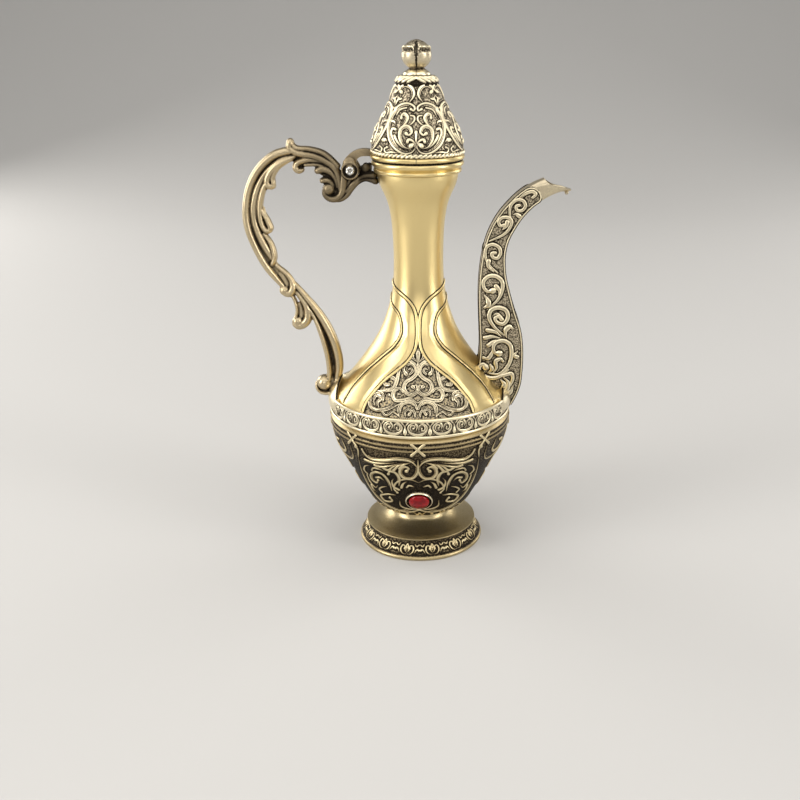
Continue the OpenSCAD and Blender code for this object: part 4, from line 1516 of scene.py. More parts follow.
@dataclass
class Finial:
    """Turned button and a ball of four petals under a low point."""

    ball_z: float = 234.2
    ball_r: float = 6.6
    ball_h: float = 6.1
    petals: int = 4
    seam: float = 0.22

    def button(self, finish: Material) -> None:
        """Makes the button.

        Args:
            finish: its brass.
        """
        knots = ((1.52, 223.6), (4.9, 223.6), (5.6, 225), (6, 225.5), (6.05, 226), (5.7, 226.7),
                 (5, 227.3), (4.1, 227.8), (3.5, 228.2), (3.2, 228.5), (3.2, 229), (1.52, 229))
        thing = spun("finial_collar", knots, 128)
        apply(thing, "BEVEL", width=0.2, segments=3, limit_method="ANGLE",
              angle_limit=math.radians(12))
        points = coordinates(thing)
        z = points[:, 2]
        seam = peak(points[:, 0], 0, self.seam) * (z > 225)
        points[:, 1] *= 1 - 0.05 * seam
        set_coordinates(thing, points)
        set_patina_and_shade(thing, 0.5 * seam + 0.7 * smoothstep(z, 227.3, 228.2) + 0.6 * fade(z, 225, 225.4))
        finish_piece(thing, Body.LID, Slot.RELIEF, finish, "finial_button", angle=35)

    def ball(self, finish: Material) -> None:
        """Makes the ball: petals between four grooves, each with a flared tip.

        Args:
            finish: its brass.
        """
        base = self.ball_z - self.ball_h
        low = arc((0, self.ball_z - 0.4), self.ball_r, np.arange(-62, 38, 2), self.ball_h)
        top = [(5.0, 237.8), (4.6, 238.2), (4.0, 238.7), (3.3, 239.15), (2.6, 239.5), (1.8, 239.85),
            (0.9, 240.15), (0, 240.3)]
        outline = [(0, base + 5.9), (1.52, base + 5.9), (1.52, base + 0.7)] + low + top
        thing = spun("finial_bud", outline, 320, False)
        points = coordinates(thing)
        x, y, z = points.T
        reach = np.hypot(x, y)
        angle = np.arctan2(x, -y)
        lobe = np.abs(np.sin(self.petals / 2 * angle))
        height = (z - self.ball_z) / self.ball_h
        body = smoothstep(height, -0.98, -0.7) * fade(height, 0.7, 0.98)
        groove = peak(lobe, 0, 0.1) * body
        slit = peak(lobe, 0.22, 0.07) * smoothstep(height, -0.35, 0.3) * body
        lip_at = 0.28 + 0.24 * smoothstep(lobe, 0.1, 0.65)
        lip = peak(height, lip_at, 0.09) * smoothstep(lobe, 0.15, 0.5)
        under = peak(height, lip_at - 0.2, 0.11) * smoothstep(lobe, 0.25, 0.6)
        skin = reach > 1.6
        push = (-0.9 * groove - 0.3 * slit + 0.8 * lip - 0.4 * under) * skin
        ridge = 0.35 * (1 - lobe) * smoothstep(height, 0.6, 0.75)
        points[:, :2] *= (1 + (push + ridge) / np.maximum(reach, 1.6))[:, None]
        points[:, 2] += 0.25 * lip * skin
        set_coordinates(thing, points)
        # The band under each petal's flared lip is darkened as painted shadow.
        set_patina_and_shade(thing, 0.95 * groove + 0.7 * slit + 0.6 * under + 0.27
                   + 0.1 * smoothstep(height, 0.55, 0.8) - 0.3 * lip)
        finish_piece(thing, Body.LID, Slot.RELIEF, finish, "finial_ball", angle=50)

    def build(self, finish: Material) -> None:
        """Makes button and ball."""
        self.button(finish)
        self.ball(finish)


# ---- spout


@dataclass
class Spout:
    """Curved spout with flat scrolled sides and a plain open lip.

    `near` and `far` are x and z along the edge towards the neck and along the outer edge, `half`
    is the half thickness at each of those points, and `lip` the line of the cut end. `top` is how
    far up the sunk ground of a side reaches, from 0 to 1.
    """

    near: tuple[Flat, ...] = (
        (33, 70), (30.1, 78), (28.2, 86), (29.1, 99.8), (28.9, 109), (28.5, 118), (28.3, 129),
        (28.9, 139.7), (30.4, 149), (32.8, 156.8), (36.5, 163.9), (40.9, 169.5), (46.5, 174.9),
        (52.3, 178.7), (57.4, 181.1), (63.8, 184), (69.9, 186),
    )
    far: tuple[Flat, ...] = (
        (44.2, 71.5), (47.3, 78.6), (49, 86), (49.4, 100), (48.2, 110.5), (45.4, 119),
        (42.8, 128), (40.7, 137), (40.3, 146), (41.7, 152.8), (44.6, 158.6), (48.2, 164),
        (53.2, 169.1), (57.6, 171.8), (61.7, 173.7), (65.5, 174.8), (69.7, 175.2),
    )
    half: tuple[float, ...] = (
        4.6, 6, 7.2, 7.5, 7, 6.4, 5.7, 5.1, 4.7, 4.5, 4.3, 4.2, 4.2, 4.3, 4.2, 3.4, 2.2,
    )
    lip: tuple[Flat, ...] = (
        (56.5, 183), (57.3, 181), (59.6, 178.9), (61.9, 177.8), (65.2, 177.2), (68.2, 176.4),
        (71.2, 175.6),
    )
    wall: float = 1.3
    sink: float = 0.4
    edge: float = 0.75
    top: float = 0.775
    count: int = 260
    panel: tuple[Stroke, ...] = (
        Stroke(((43.1, 160.9), (41.9, 165.8), (42.4, 169.3), (44.9, 171.7), (47.8, 171.4), (49, 168.9),
            (47.3, 166.9), (45.1, 167.2), (44.8, 168.9), (46.2, 169.3)),
            Cut.STEM, 0.6, 0, 1.1),
        Stroke(((43.5, 165), (44.9, 165.3), (46.3, 164.4)), Cut.FROND, 0.4),
        Stroke(((46, 172.6), (49.3, 175), (52.3, 175.6), (53.6, 174.2), (52.2, 172.8)),
            Cut.STEM, 0.4, 0.7),
        Stroke(((32.7, 152.9), (35.2, 153.9), (39.4, 156), (42, 158.8), (42.9, 161.9), (41.5, 163.6),
            (38.5, 163.7), (37, 162), (37.6, 160), (39.4, 160.2)),
            Cut.STEM, 0.75, 0, 1.1),
        Stroke(((38.6, 158), (40.4, 159.8), (40.9, 161.6)), Cut.FROND, 0.4),
        Stroke(((36.9, 138.1), (33, 141.7), (30.9, 146.7), (31.8, 150.4), (34.5, 151.4), (37.3, 150),
            (38, 147.1), (36.6, 145), (34.5, 145.5), (34.1, 147.3), (35.6, 147.5)), Cut.STEM, 0.6, 0,
                1.15),
        Stroke(((35.3, 138.4), (32.5, 141.2), (32.6, 143.6)), Cut.FROND, 0.5),
        Stroke(((33.6, 121.9), (37.3, 125.6), (39.3, 130.8), (38.9, 134.3), (36.2, 136.6), (32.8, 136.6),
            (30.4, 134.2), (30.6, 131.2), (32.4, 129.4), (34.8, 129.8)),
            Cut.RIBBON, 1.25, 0),
        Stroke(((37.7, 126.6), (37.8, 129.8), (36.3, 131.8)), Cut.FROND, 0.5),
        Stroke(((30.8, 127.6), (32.5, 125.3), (32.8, 122.9), (31, 121.8)), Cut.LEAF, 0.5),
        Stroke(((40.4, 108.4), (35.3, 112.9), (33.1, 117.4), (34.4, 120.8), (37.6, 121.8), (41.1, 120.4),
            (42, 116.9), (39.9, 114), (36.8, 114.9), (36, 116.8), (37.9, 117.6)), Cut.RIBBON, 0.8, 0,
                1.05),
        Stroke(((35.1, 118), (36.8, 118.8), (39.1, 116.2)), Cut.FROND, 0.5),
        Stroke(((41.6, 107.4), (41, 110.7), (43, 112.7), (44.2, 111.8)), Cut.LEAF, 0.55),
        Stroke(((39, 107.8), (36.3, 110), (32.6, 110.9)), Cut.FROND, 0.7),
        Stroke(((38.6, 107), (34.6, 107.8), (31.4, 107.2)), Cut.FROND, 0.7),
        Stroke(((38.6, 106.2), (35.3, 105.3), (33.1, 103.6)), Cut.FROND, 0.65),
        Stroke(((33.7, 89.4), (37.9, 89), (42, 92.4), (44, 97.7), (43.5, 103.4), (40.8, 105.7),
            (37.1, 105.3), (35.4, 102.8), (36.2, 99.8), (38.3, 99.6)),
            Cut.RIBBON, 1.35, 0, 1.05),
        Stroke(((35.4, 102.6), (34.7, 99.6), (32.9, 97), (30.8, 97.4)), Cut.LEAF, 0.7, 0, 0.8),
        Stroke(((42.9, 91.2), (37.2, 87.2), (32.3, 87.5), (29.2, 90), (28.9, 92.8), (30.7, 94.2),
            (31.9, 92.6)), Cut.RIBBON, 1.35, 0, 1.1),
        Stroke(((34.9, 88.9), (37, 92.2), (36.6, 95.6), (39, 96.8), (40.1, 95.6)),
            Cut.LEAF, 0.55, 0, 0.8),
        Stroke(((32.9, 89.6), (34.9, 91.6), (34, 93.8)), Cut.LEAF, 0.5, 0, 0.8),
        Stroke(((36.2, 87.2), (40.9, 88.5), (44.3, 89.3), (45, 86.8), (44, 83.4)),
            Cut.RIBBON, 0.6),
        Stroke(((40.6, 87.2), (42.9, 84.6), (42.2, 80.8), (39.9, 78.6)), Cut.LEAF, 0.7),
        Stroke(((39.2, 86), (41, 83.6), (39.8, 81.4)), Cut.LEAF, 0.6),
        Stroke(((45.3, 83), (44.1, 79.6), (41.5, 77.4)), Cut.LEAF, 0.7),
        Stroke(((47.1, 100.7), (45.4, 98.6), (46.8, 97.8)), Cut.FROND, 0.5),
    )

    def rails(self) -> tuple[np.ndarray, np.ndarray, np.ndarray]:
        """Samples the shape of a side, from the bowl to the lip.

        Returns:
            Middle line, way from it to the far edge, and half thickness.
        """
        span = 8.0
        steps = np.linspace(0, span * (len(self.near) - 1), self.count)

        def along(values: Sequence[float]) -> np.ndarray:
            """Values joined smoothly, at even steps."""
            line = through([(span * i, value) for i, value in enumerate(values)], 0.5)
            return np.interp(steps, line[:, 0], line[:, 1])

        near, far = (np.stack([along(axis) for axis in zip(*rail)], 1)
                     for rail in (self.near, self.far))
        return (near + far) / 2, (far - near) / 2, along(self.half)

    def section(self, wide: np.ndarray, thick: np.ndarray, soft: np.ndarray) -> np.ndarray:
        """Boxes with round corners, all with as many points.

        Args:
            wide: half width of each box.
            thick: half thickness of each box.
            soft: radius of each box's corners.

        Returns:
            Array of boxes, points and the two coordinates.
        """
        turns = np.radians(np.linspace(0, 90, 9))
        corners = []
        for turn, (a, b) in enumerate(((1, 1), (-1, 1), (-1, -1), (1, -1))):
            bend = np.stack([np.cos(turns + turn * math.pi / 2), np.sin(turns + turn * math.pi / 2)], 1)
            middle = np.stack([a * (wide - soft), b * (thick - soft)], 1)
            corners.append(middle[:, None, :] + soft[:, None, None] * bend[None, :, :])
        rows = []
        for one, two, count in zip(corners, corners[1:] + corners[:1], (40, 10, 40, 10)):
            t = np.linspace(0, 1, count + 2)[1:-1][None, :, None]
            rows += [one, one[:, -1:] * (1 - t) + two[:, :1] * t]
        return np.concatenate(rows, axis=1)

    def sunk(self, along: np.ndarray, inset: np.ndarray, across: np.ndarray) -> np.ndarray:
        """True on a side's ground, by way up, distance from the nearer edge and place across."""
        end = self.top + 0.034 * np.sqrt(np.clip(1 - across**2, 0, 1))
        return (inset > self.edge) & (along < end)

    def skin(self, shrink: float) -> np.ndarray:
        """Loops of a skin, from the bowl to the lip.

        Args:
            shrink: distance inside the outer skin.

        Returns:
            Array of loops, points and coordinates.
        """
        middle, across, half = self.rails()
        wide = np.linalg.norm(across, axis=1)
        across /= wide[:, None]
        along = np.linspace(0, 1, self.count)[:, None]
        soft = 1.1 - 0.6 * (shrink > 0) + 2.6 * smoothstep(along[:, 0], 0.74, 0.94)
        soft = np.minimum(soft, np.minimum(wide, half) - shrink - 0.1)
        box = self.section(wide - shrink, half - shrink, soft)
        reach, y = box[..., 0], box[..., 1]
        if shrink == 0:
            flat = np.abs(np.abs(y) - half[:, None]) < 0.05
            ground = self.sunk(along, wide[:, None] - np.abs(reach), reach / wide[:, None])
            y = y - np.sign(y) * self.sink * (flat & ground)
        x = middle[:, :1] + across[:, :1] * reach
        z = middle[:, 1:] + across[:, 1:] * reach
        return np.stack([x, y, z], 2)

    def borders(self) -> list[Stroke]:
        """Raised line along both edges of a side, joined round the top of its ground.

        Returns:
            The stroke, in a list.
        """
        middle, across, _ = self.rails()
        rim = 1 - 0.42 / np.linalg.norm(across, axis=1)
        last = int(self.top * self.count)
        side = np.arange(3, last, 5)
        turn = np.radians(np.linspace(-90, 90, 15))
        at = np.concatenate([side, last + 0.036 * self.count * np.cos(turn), side[::-1]])
        u = np.concatenate([-rim[side], rim[last] * np.sin(turn), rim[side[::-1]]])
        steps = np.arange(self.count)
        line = [np.interp(at, steps, middle[:, i]) + u * np.interp(at, steps, across[:, i])
                for i in (0, 1)]
        return [Stroke(tuple(zip(*line)), Cut.EDGE, 0, 0, 0.95)]

    def on_side(self, side: int) -> Place:
        """Laying of flat x, z and height on one side.

        Args:
            side: -1 for the front, 1 for the back.

        Returns:
            The laying.
        """
        middle, _, half = self.rails()

        def place(flat: np.ndarray) -> np.ndarray:
            """Lays flat points on the side.

            Args:
                flat: rows of x, z and height off the sunk ground.

            Returns:
                The points in space.
            """
            thick = half[nearest(flat[:, :2], middle)]
            y = side * (thick - 0.95 * self.sink + flat[:, 2])
            return np.stack([flat[:, 0], y, flat[:, 1]], 1)

        return place

    def shell(self) -> Piece:
        """Models the pipe, with its lip cut to shape.

        Returns:
            The pipe.
        """
        loops = np.concatenate([self.skin(0.0), self.skin(self.wall)[::-1]])
        here = np.arange(loops[..., 0].size).reshape(loops.shape[:2])
        ahead = np.roll(here, -1, axis=0)
        faces = np.stack([here, ahead, np.roll(ahead, -1, 1), np.roll(here, -1, 1)], 2)
        pipe = from_data("spout_pipe", loops.reshape(-1, 3), faces=faces.reshape(-1, 4).tolist())
        edit(pipe, outward)
        line = np.vstack([through(self.lip, 1.0), [(76, 176), (76, 190), (56, 190)]])
        body = [(r - 0.7, z) for z, r in through(ShoulderNeck().knots[:8], 1.0)]
        plug = spun("body_plug", [(0, 62), (42.4, 62)] + body + [(0, body[-1][1])], 96, False)
        return cut(pipe, slab("lip_cutter", line, 9), plug)

    def build(self, relief: Material) -> None:
        """Makes the spout and its ornament.

        Args:
            relief: its brass.
        """
        pipe = self.shell()
        sides = [self.on_side(-1), self.on_side(1)]
        scrolls = Ornament("spout_scrolls", wider(self.panel, 1.7), sides, 0.95,
                           rim=0.4, flute=0.4)
        lines = Ornament("spout_lines", self.borders(), sides, 0.9, 0.24, 0.3)
        across = np.arange(-1.8, 1.9, 0.4)
        roll_half = np.array([0.4, 0.8, 0.9, 0.95, 0.95, 0.95, 0.95, 0.9, 0.8, 0.4])
        roll = piped("lip_roll", [(np.array([(67.9, y, 174.5) for y in across]), roll_half)])
        set_patina_and_shade(roll, np.full(len(roll.data.vertices), 0.3))
        for work in (scrolls.piece, lines.piece):
            edit(work, outward)
        points = coordinates(pipe)
        middle, across, half = (rail[::2] for rail in self.rails())
        at = nearest(points[:, ::2], middle)
        wide = np.linalg.norm(across[at], axis=1)
        off = points[:, ::2] - middle[at]
        reach = np.sum(off * across[at], axis=1) / wide
        ground = self.sunk(at / len(half), wide - np.abs(reach) + 0.1, reach / wide)
        ground &= np.abs(points[:, 1]) > half[at] - 0.75
        set_patina_and_shade(pipe, np.where(ground, 0.42 + 0.3 * scrolls.shadow(points, 0.55), 0.27))
        finish_piece(roll, Body.POT, Slot.RELIEF, relief, "spout", angle=60)
        finish_piece(pipe, Body.POT, Slot.RELIEF, relief, "spout", angle=45)
        scrolls.dress(Body.POT, Slot.RELIEF, relief, "spout")
        lines.dress(Body.POT, Slot.RELIEF, relief, "spout")


# ---- handle


@dataclass
class Handle:
    """Cast handle of ribs and leaves, with ears for the rivet.

    A rib, the core behind them, a web and the cheek are rows of x, z and half width. A ball is x,
    z, radius and half depth, and a bar is a half depth and its line. `grain` is the size of the
    cells that the solids are melted together by, and `room` half the width of the strap's slot.
    """

    depth: float = 3.3
    grain: float = 0.36
    room: float = 2.2
    ribs: tuple[Rib, ...] = (
        ((-56.4, 196.4, 1.0), (-54.4, 194.5, 1.1), (-48.6, 193.9, 1.2), (-42.9, 192.3, 1.3),
         (-38.9, 189.5, 1.3), (-35.7, 186.2, 1.3)),
        ((-57, 196.9, 1.8), (-57.3, 194.9, 1.8), (-55.6, 193, 1.9), (-51.1, 191.6, 1.8),
         (-46.4, 190.8, 1.9), (-41.7, 188.9, 2.0), (-38.1, 186.4, 2.1), (-36.2, 183, 2.0),
         (-35.3, 178.6, 1.7), (-35.2, 175, 1.4)),
        ((-54, 192.8, 1.2), (-57.9, 193, 1.8), (-63.8, 191.5, 2.0), (-69.1, 187.8, 2.0),
         (-73.8, 182.3, 2.0), (-77, 175.7, 1.9), (-78.6, 168.9, 1.9), (-79, 162.6, 1.9),
         (-78.1, 156.6, 1.9), (-76, 150.3, 1.9), (-73.2, 144, 1.9), (-69.8, 138.3, 1.9),
         (-66.5, 133.9, 1.6), (-64, 130.6, 1.3)),
        ((-55.1, 190.9, 1.0), (-60.5, 189.6, 1.3), (-66, 186, 1.4), (-70.8, 180.5, 1.5),
         (-73.9, 174, 1.5), (-75.5, 167.4, 1.5), (-75.3, 161.6, 1.5), (-73.6, 155.4, 1.8),
         (-71.3, 150.2, 2.0), (-69, 145.6, 1.7), (-67.8, 142.8, 1.1)),
        ((-57.1, 189.2, 0.8), (-62.6, 186.1, 1.2), (-67.5, 181, 1.3), (-70.8, 174.6, 1.4),
         (-72.4, 168, 1.4), (-72.5, 163, 1.4), (-71.6, 159.2, 1.5), (-70, 157.2, 1.7),
         (-68.5, 157.4, 1.6), (-67.9, 158.8, 1.2)),
        ((-71.9, 168.4, 0.6), (-71, 165.4, 1.0), (-69.3, 161.8, 1.3),
         (-68, 158.2, 1.4)),
        ((-71.2, 155.6, 0.9), (-68.7, 151.6, 1.2), (-67.4, 147.6, 1.3), (-67.2, 143.8, 1.3),
         (-68.3, 141.4, 1.2)),
        ((-68.5, 142.6, 0.9), (-65.3, 139.6, 1.1), (-62.1, 136.8, 1.2), (-59.8, 133.2, 1.4),
         (-59.4, 129.9, 1.8), (-60.3, 127.8, 2.1), (-62.1, 127.3, 2.1), (-63.4, 127.9, 1.9)),
        ((-59.3, 129.8, 1.0), (-56.5, 125.9, 1.3), (-53.9, 121.9, 1.6), (-52.9, 117.8, 1.9),
         (-53.5, 114, 2.2), (-55.8, 111.9, 2.3), (-57.8, 111.6, 2.3), (-58.9, 112.2, 2.0)),
        ((-60.1, 126.6, 0.8), (-58.5, 123, 0.9), (-57.9, 119, 0.9), (-58.8, 115.2, 0.9)),
        ((-62, 135.2, 0.8), (-58.2, 131.5, 1.1), (-53.7, 125.9, 1.4), (-48.6, 119, 1.8),
         (-44.4, 111.8, 2.1), (-41.2, 104, 2.2), (-39.4, 96.4, 2.2), (-39.1, 90, 2.1),
         (-40.1, 84.4, 1.8)),
        ((-53.2, 121.6, 0.8), (-49.9, 115.4, 1.1), (-47.6, 109.4, 1.4), (-45.6, 102.4, 1.5),
         (-44.2, 95.4, 1.5), (-43.7, 88.6, 1.5), (-44, 84.4, 1.4)),
        ((-55.5, 190.6, 1.1), (-60.5, 188.4, 1.6), (-65, 185.2, 1.8), (-67.5, 182, 1.8),
         (-68.4, 179.2, 1.8), (-67.5, 177.5, 1.9), (-66.1, 177.5, 1.7)),
        ((-56.5, 189.4, 0.8), (-61.3, 187, 1.0), (-64.6, 183.6, 1.1), (-65.8, 180.6, 1.1),
         (-65.5, 178.7, 1.1)),
        ((-41.7, 187.8, 1.1), (-46.7, 189, 1.3), (-51.1, 188.9, 1.5), (-54.2, 187.6, 1.6),
         (-55, 185.6, 1.7), (-53.8, 184.3, 1.6), (-52.4, 184.6, 1.3)),
        ((-41.1, 186.2, 0.8), (-46.3, 187.1, 1.0), (-50.7, 186.8, 0.9)),
        ((-36.5, 177, 1.1), (-37, 180.6, 1.5), (-39.3, 183.8, 1.8), (-42.5, 185.1, 1.9),
         (-45.1, 184.4, 1.8)),
        ((-38.1, 176.6, 0.9), (-39.1, 179, 1.3), (-41.1, 180.2, 1.5), (-43.3, 179.9, 1.4)),
        ((-33.4, 183, 2.2), (-33.7, 179, 2.2), (-34.3, 175, 2.0), (-35.9, 172.7, 1.8),
         (-38.3, 171.6, 1.8), (-40.7, 172.1, 1.7), (-42.2, 173.8, 1.6), (-42.2, 175.8, 1.5)),
        ((-39.4, 170.8, 0.6), (-35.8, 171, 1.0), (-32.6, 173, 1.2), (-30.1, 176.2, 1.2),
         (-27.1, 179.2, 1.2), (-23.8, 180.6, 1.2), (-21, 180.2, 1.4), (-19.1, 179.6, 1.6)),
        ((-32.7, 175, 1.2), (-29.3, 178.6, 1.3), (-26.2, 181.2, 1.3), (-23.1, 182.2, 1.4),
         (-19.6, 182.2, 1.6)),
    )
    core: Rib = (
        (-38.1, 187.4, 1.4), (-43.6, 190.2, 1.5), (-51.1, 190.8, 1.6), (-58.1, 189.6, 1.8),
        (-65.8, 185.4, 2.6), (-71.9, 178.6, 3.4), (-74.8, 170, 3.6), (-75.4, 161, 3.4),
        (-73.5, 152, 3.2), (-69.7, 143, 3.0), (-64, 135, 1.6), (-58.1, 128.4, 1.6),
        (-51.6, 120, 1.6), (-46.6, 111.4, 2.0), (-43.2, 102.8, 2.2), (-41.8, 94, 2.2),
        (-42.1, 86, 1.8),
    )
    webs: tuple[Rib, ...] = (
        ((-43.6, 183, 0.8), (-40.3, 182.2, 1.5), (-38.4, 179.8, 1.4)),
        ((-53.6, 186.2, 0.9), (-51.4, 187.5, 0.6)),
        ((-33.9, 175, 1.4), (-30.3, 178, 1.6), (-26.2, 180.6, 1.4), (-20.7, 181.2, 1.6)),
        ((-64.9, 137, 1.4), (-62.4, 133, 1.6), (-62.1, 129.4, 1.2)),
        ((-56.6, 122, 1.0), (-56.1, 117, 1.4), (-56.5, 113.6, 1.2)),
        ((-38.2, 185.4, 1.6), (-38.8, 182, 1.8), (-38.3, 178, 1.4)),
        ((-43.1, 187, 1.0), (-49.1, 188.2, 0.9)),
        ((-59.6, 189, 0.8), (-65, 184.8, 1.0), (-67, 180.8, 0.9)),
        ((-70.9, 167.6, 0.6), (-70.5, 164, 1.0), (-70, 160, 1.1)),
    )

    balls: tuple[tuple[float, float, float, float], ...] = (
        (-40.4, 176.2, 3.0, 3.6), (-46.5, 82.5, 3.8, 4.4), (-23.4, 185.8, 2.7, 3.0),
        (-63.4, 128.6, 2.5, 3.0), (-58, 113.4, 2.7, 3.1), (-37.4, 174.9, 1.8, 1.6),
    )
    bars: tuple[tuple[float, Rib], ...] = (
        (2.6, ((-27.6, 185.6, 1.9), (-23, 185.8, 1.9), (-18.6, 185.8, 2.2))),
        (3.9, ((-50.7, 82.4, 0.4), (-50.4, 79.8, 0.8), (-48.9, 77.8, 1.0), (-46.5, 77, 1.1),
            (-44, 77.4, 1.2), (-41.8, 79.6, 1.4), (-40.6, 83, 1.6))),
        (2.0, ((-46.8, 81, 3.2), (-46, 81, 3.2))),
        (2.6, ((-43.4, 86, 1.6), (-42.2, 82, 2.4), (-41.4, 78, 2.6))),
        (2.4, ((-31, 180.2, 2.0), (-32.3, 177.8, 2.4), (-33.6, 175.2, 2.2))),
        (2.0, ((-27.4, 182.2, 1.2), (-24, 182.8, 1.8), (-20.6, 183.4, 2.0))),
    )
    cheek: Rib = ((-30.3, 186.6, 3.6), (-30.4, 187.4, 3.4))

    def swept(self, rows: Rib, depth: float, at: float = 0.0) -> Piece:
        """One rib with round ends.

        Args:
            rows: x, z and half width of its middle.
            depth: half thickness from side to side where the rib is widest.
            at: how far it stands off the middle plane.

        Returns:
            The object.
        """
        smooth = through(rows, 0.8)
        run = rounded(smooth[:, :2], smooth[:, 2], smooth[-1, 2])
        thing = piped("rib", [run], 5)
        x, z, y = coordinates(thing).T
        set_coordinates(thing, np.stack([x, at - y * depth / max(r for *_, r in smooth), z], 1))
        return thing

    def ear(self, side: int) -> Piece:
        """One cheek of the hinge, dished round the rivet's head.

        Args:
            side: -1 for the front, 1 for the back.

        Returns:
            The cheek.
        """
        outline = [(0, 2.2), (3.9, 2.2), (4.15, 2.6), (4.15, 4.6), (3.9, 5.0), (3.5, 5.1),
                   (3.35, 4.9), (3.3, 4.3), (0, 4.3)]
        thing = spun("ear", outline, 48, False)
        lay_across(thing, -side)
        return thing

    def ball(self, x: float, z: float, radius: float, depth: float) -> Piece:
        """One ball, deeper or flatter than it is wide.

        Args:
            x: place of its middle along the pot.
            z: its height.
            radius: its radius.
            depth: half its depth from front to back.

        Returns:
            The object.
        """
        bpy.ops.mesh.primitive_uv_sphere_add(segments=32, ring_count=20, radius=radius,
                                             location=(x, 0, z))
        thing = bpy.context.view_layer.objects.active
        bpy.ops.object.transform_apply(location=True, rotation=False, scale=False)
        points = coordinates(thing)
        points[:, 1] *= depth / radius
        set_coordinates(thing, points)
        return thing

    def solids(self) -> list[Piece]:
        """Every solid that is cast into one.

        Returns:
            The solids.
        """
        found = [self.swept(rib, self.depth * min(1, 0.5 + 0.32 * max(r for *_, r in rib)))
                 for rib in self.ribs]
        found.append(self.swept(self.core, 1.9))
        found += [self.swept(web, 1.5) for web in self.webs]
        found += [self.ear(side) for side in (-1, 1)]
        found += [self.ball(*ball) for ball in self.balls]
        found += [self.swept(bar, depth) for depth, bar in self.bars]
        found += [self.swept(self.cheek, 1.3, at) for at in (-3.7, 3.7)]
        return found

    def build(self, finish: Material) -> None:
        """Casts the handle and clears the slot of the strap.

        Args:
            finish: its brass.
        """
        parts = self.solids()
        for thing in parts:
            edit(thing, outward)
        alone(parts[0])
        for thing in parts[1:]:
            thing.select_set(True)
        bpy.ops.object.join()
        cast = bpy.context.view_layer.objects.active
        cast.name = cast.data.name = "cast_handle"
        apply(cast, "REMESH", mode="VOXEL", voxel_size=self.grain, use_smooth_shade=True)
        apply(cast, "SMOOTH", factor=0.5, iterations=3)
        self.clear_slot(cast)
        self.age(cast)
        finish_piece(cast, Body.POT, Slot.HANDLE, finish, "handle", angle=70)

    def clear_slot(self, cast: Piece) -> None:
        """Cuts the room of the knuckle, of the strap and of the mouth.

        Args:
            cast: the handle.
        """
        fan = [
            (PIN[0] + reach * math.cos(math.radians(a)), PIN[1] + reach * math.sin(math.radians(a)))
            for a, reach in ((-40, 4.4), (0, 4.4), (18, 4.6), (20, 12.4), (50, 12.4), (80, 12.4),
                             (110, 12.4), (126, 12.4), (133, 11.6), (139, 10.8), (148, 9.6),
                             (157, 8.6), (169, 7.5), (181, 6.5), (192, 5.6), (203, 5), (225, 4.4),
                             (260, 4.4), (290, 4.4))
        ]
        mouth = spun("room", [(0, 172), (14.2, 172), (16.6, 177.6), (18.2, 182), (18.4, 183.4),
                              (20.95, 184), (20.95, 212), (0, 212)], 128, False)
        knots = through(ShoulderNeck().knots[:8], 1.0)
        shoulder = spun("shoulder", [(0, 62), (43.3, 62), (43.1, 75), (42.4, 78), (41.2, 80.4)]
                        + [(r - 0.3, z) for z, r in knots if z > 81]
                        + [(0, knots[-1][0])], 128, False)
        cut(cast, slab("slot", fan, self.room), mouth, shoulder)

    def age(self, cast: Piece) -> None:
        """Darkens the hollows between the ribs, blackening with painted shade, and paints shade over
        the upper handle by the hinge, deepest inside it.

        Args:
            cast: the handle.
        """
        points = coordinates(cast)
        count = len(points)
        edges = np.empty(len(cast.data.edges) * 2, int)
        cast.data.edges.foreach_get("vertices", edges)
        a, b = edges.reshape(-1, 2).T
        degree = np.bincount(a, minlength=count) + np.bincount(b, minlength=count)
        degree = np.maximum(degree, 1)

        def spread(value: np.ndarray) -> np.ndarray:
            """Mean over the neighbours of each point.

            Args:
                value: one row for each point.

            Returns:
                The means.
            """
            total = np.zeros_like(value)
            np.add.at(total, a, value[b])
            np.add.at(total, b, value[a])
            return total / (degree if value.ndim == 1 else degree[:, None])

        normal = np.empty(count * 3)
        cast.data.vertex_normals.foreach_get("vector", normal)
        normal = normal.reshape(-1, 3)
        wide = points
        for _ in range(7):
            wide = 0.5 * wide + 0.5 * spread(wide)
        hollow = np.sum((wide - points) * normal, axis=1)
        for _ in range(2):
            hollow = 0.5 * hollow + 0.5 * spread(hollow)
        # Hollows between the ribs: blackening in the grooves, with painted shade.
        dark = smoothstep(hollow, -0.02, 0.12)
        x, y, z = points[:, 0], np.abs(points[:, 1]), points[:, 2]
        # Painted shade over the upper handle by the hinge, deeper towards the middle plane, inside the
        # hinge, and at the lug.
        hinge = smoothstep(x, -60, -40) * smoothstep(z, 150, 172)
        dish = (np.hypot(x - PIN[0], z - PIN[1]) < 3.45) & (y > 3.8) & (y < 4.85)
        lug = smoothstep(x, -27.5, -25.5)
        set_patina_and_shade(cast, 0.06 + 0.85 * dark + 0.3 * dish
                   + hinge * (0.3 + 0.25 * fade(y, 1.2, 3.0) + 0.3 * lug))


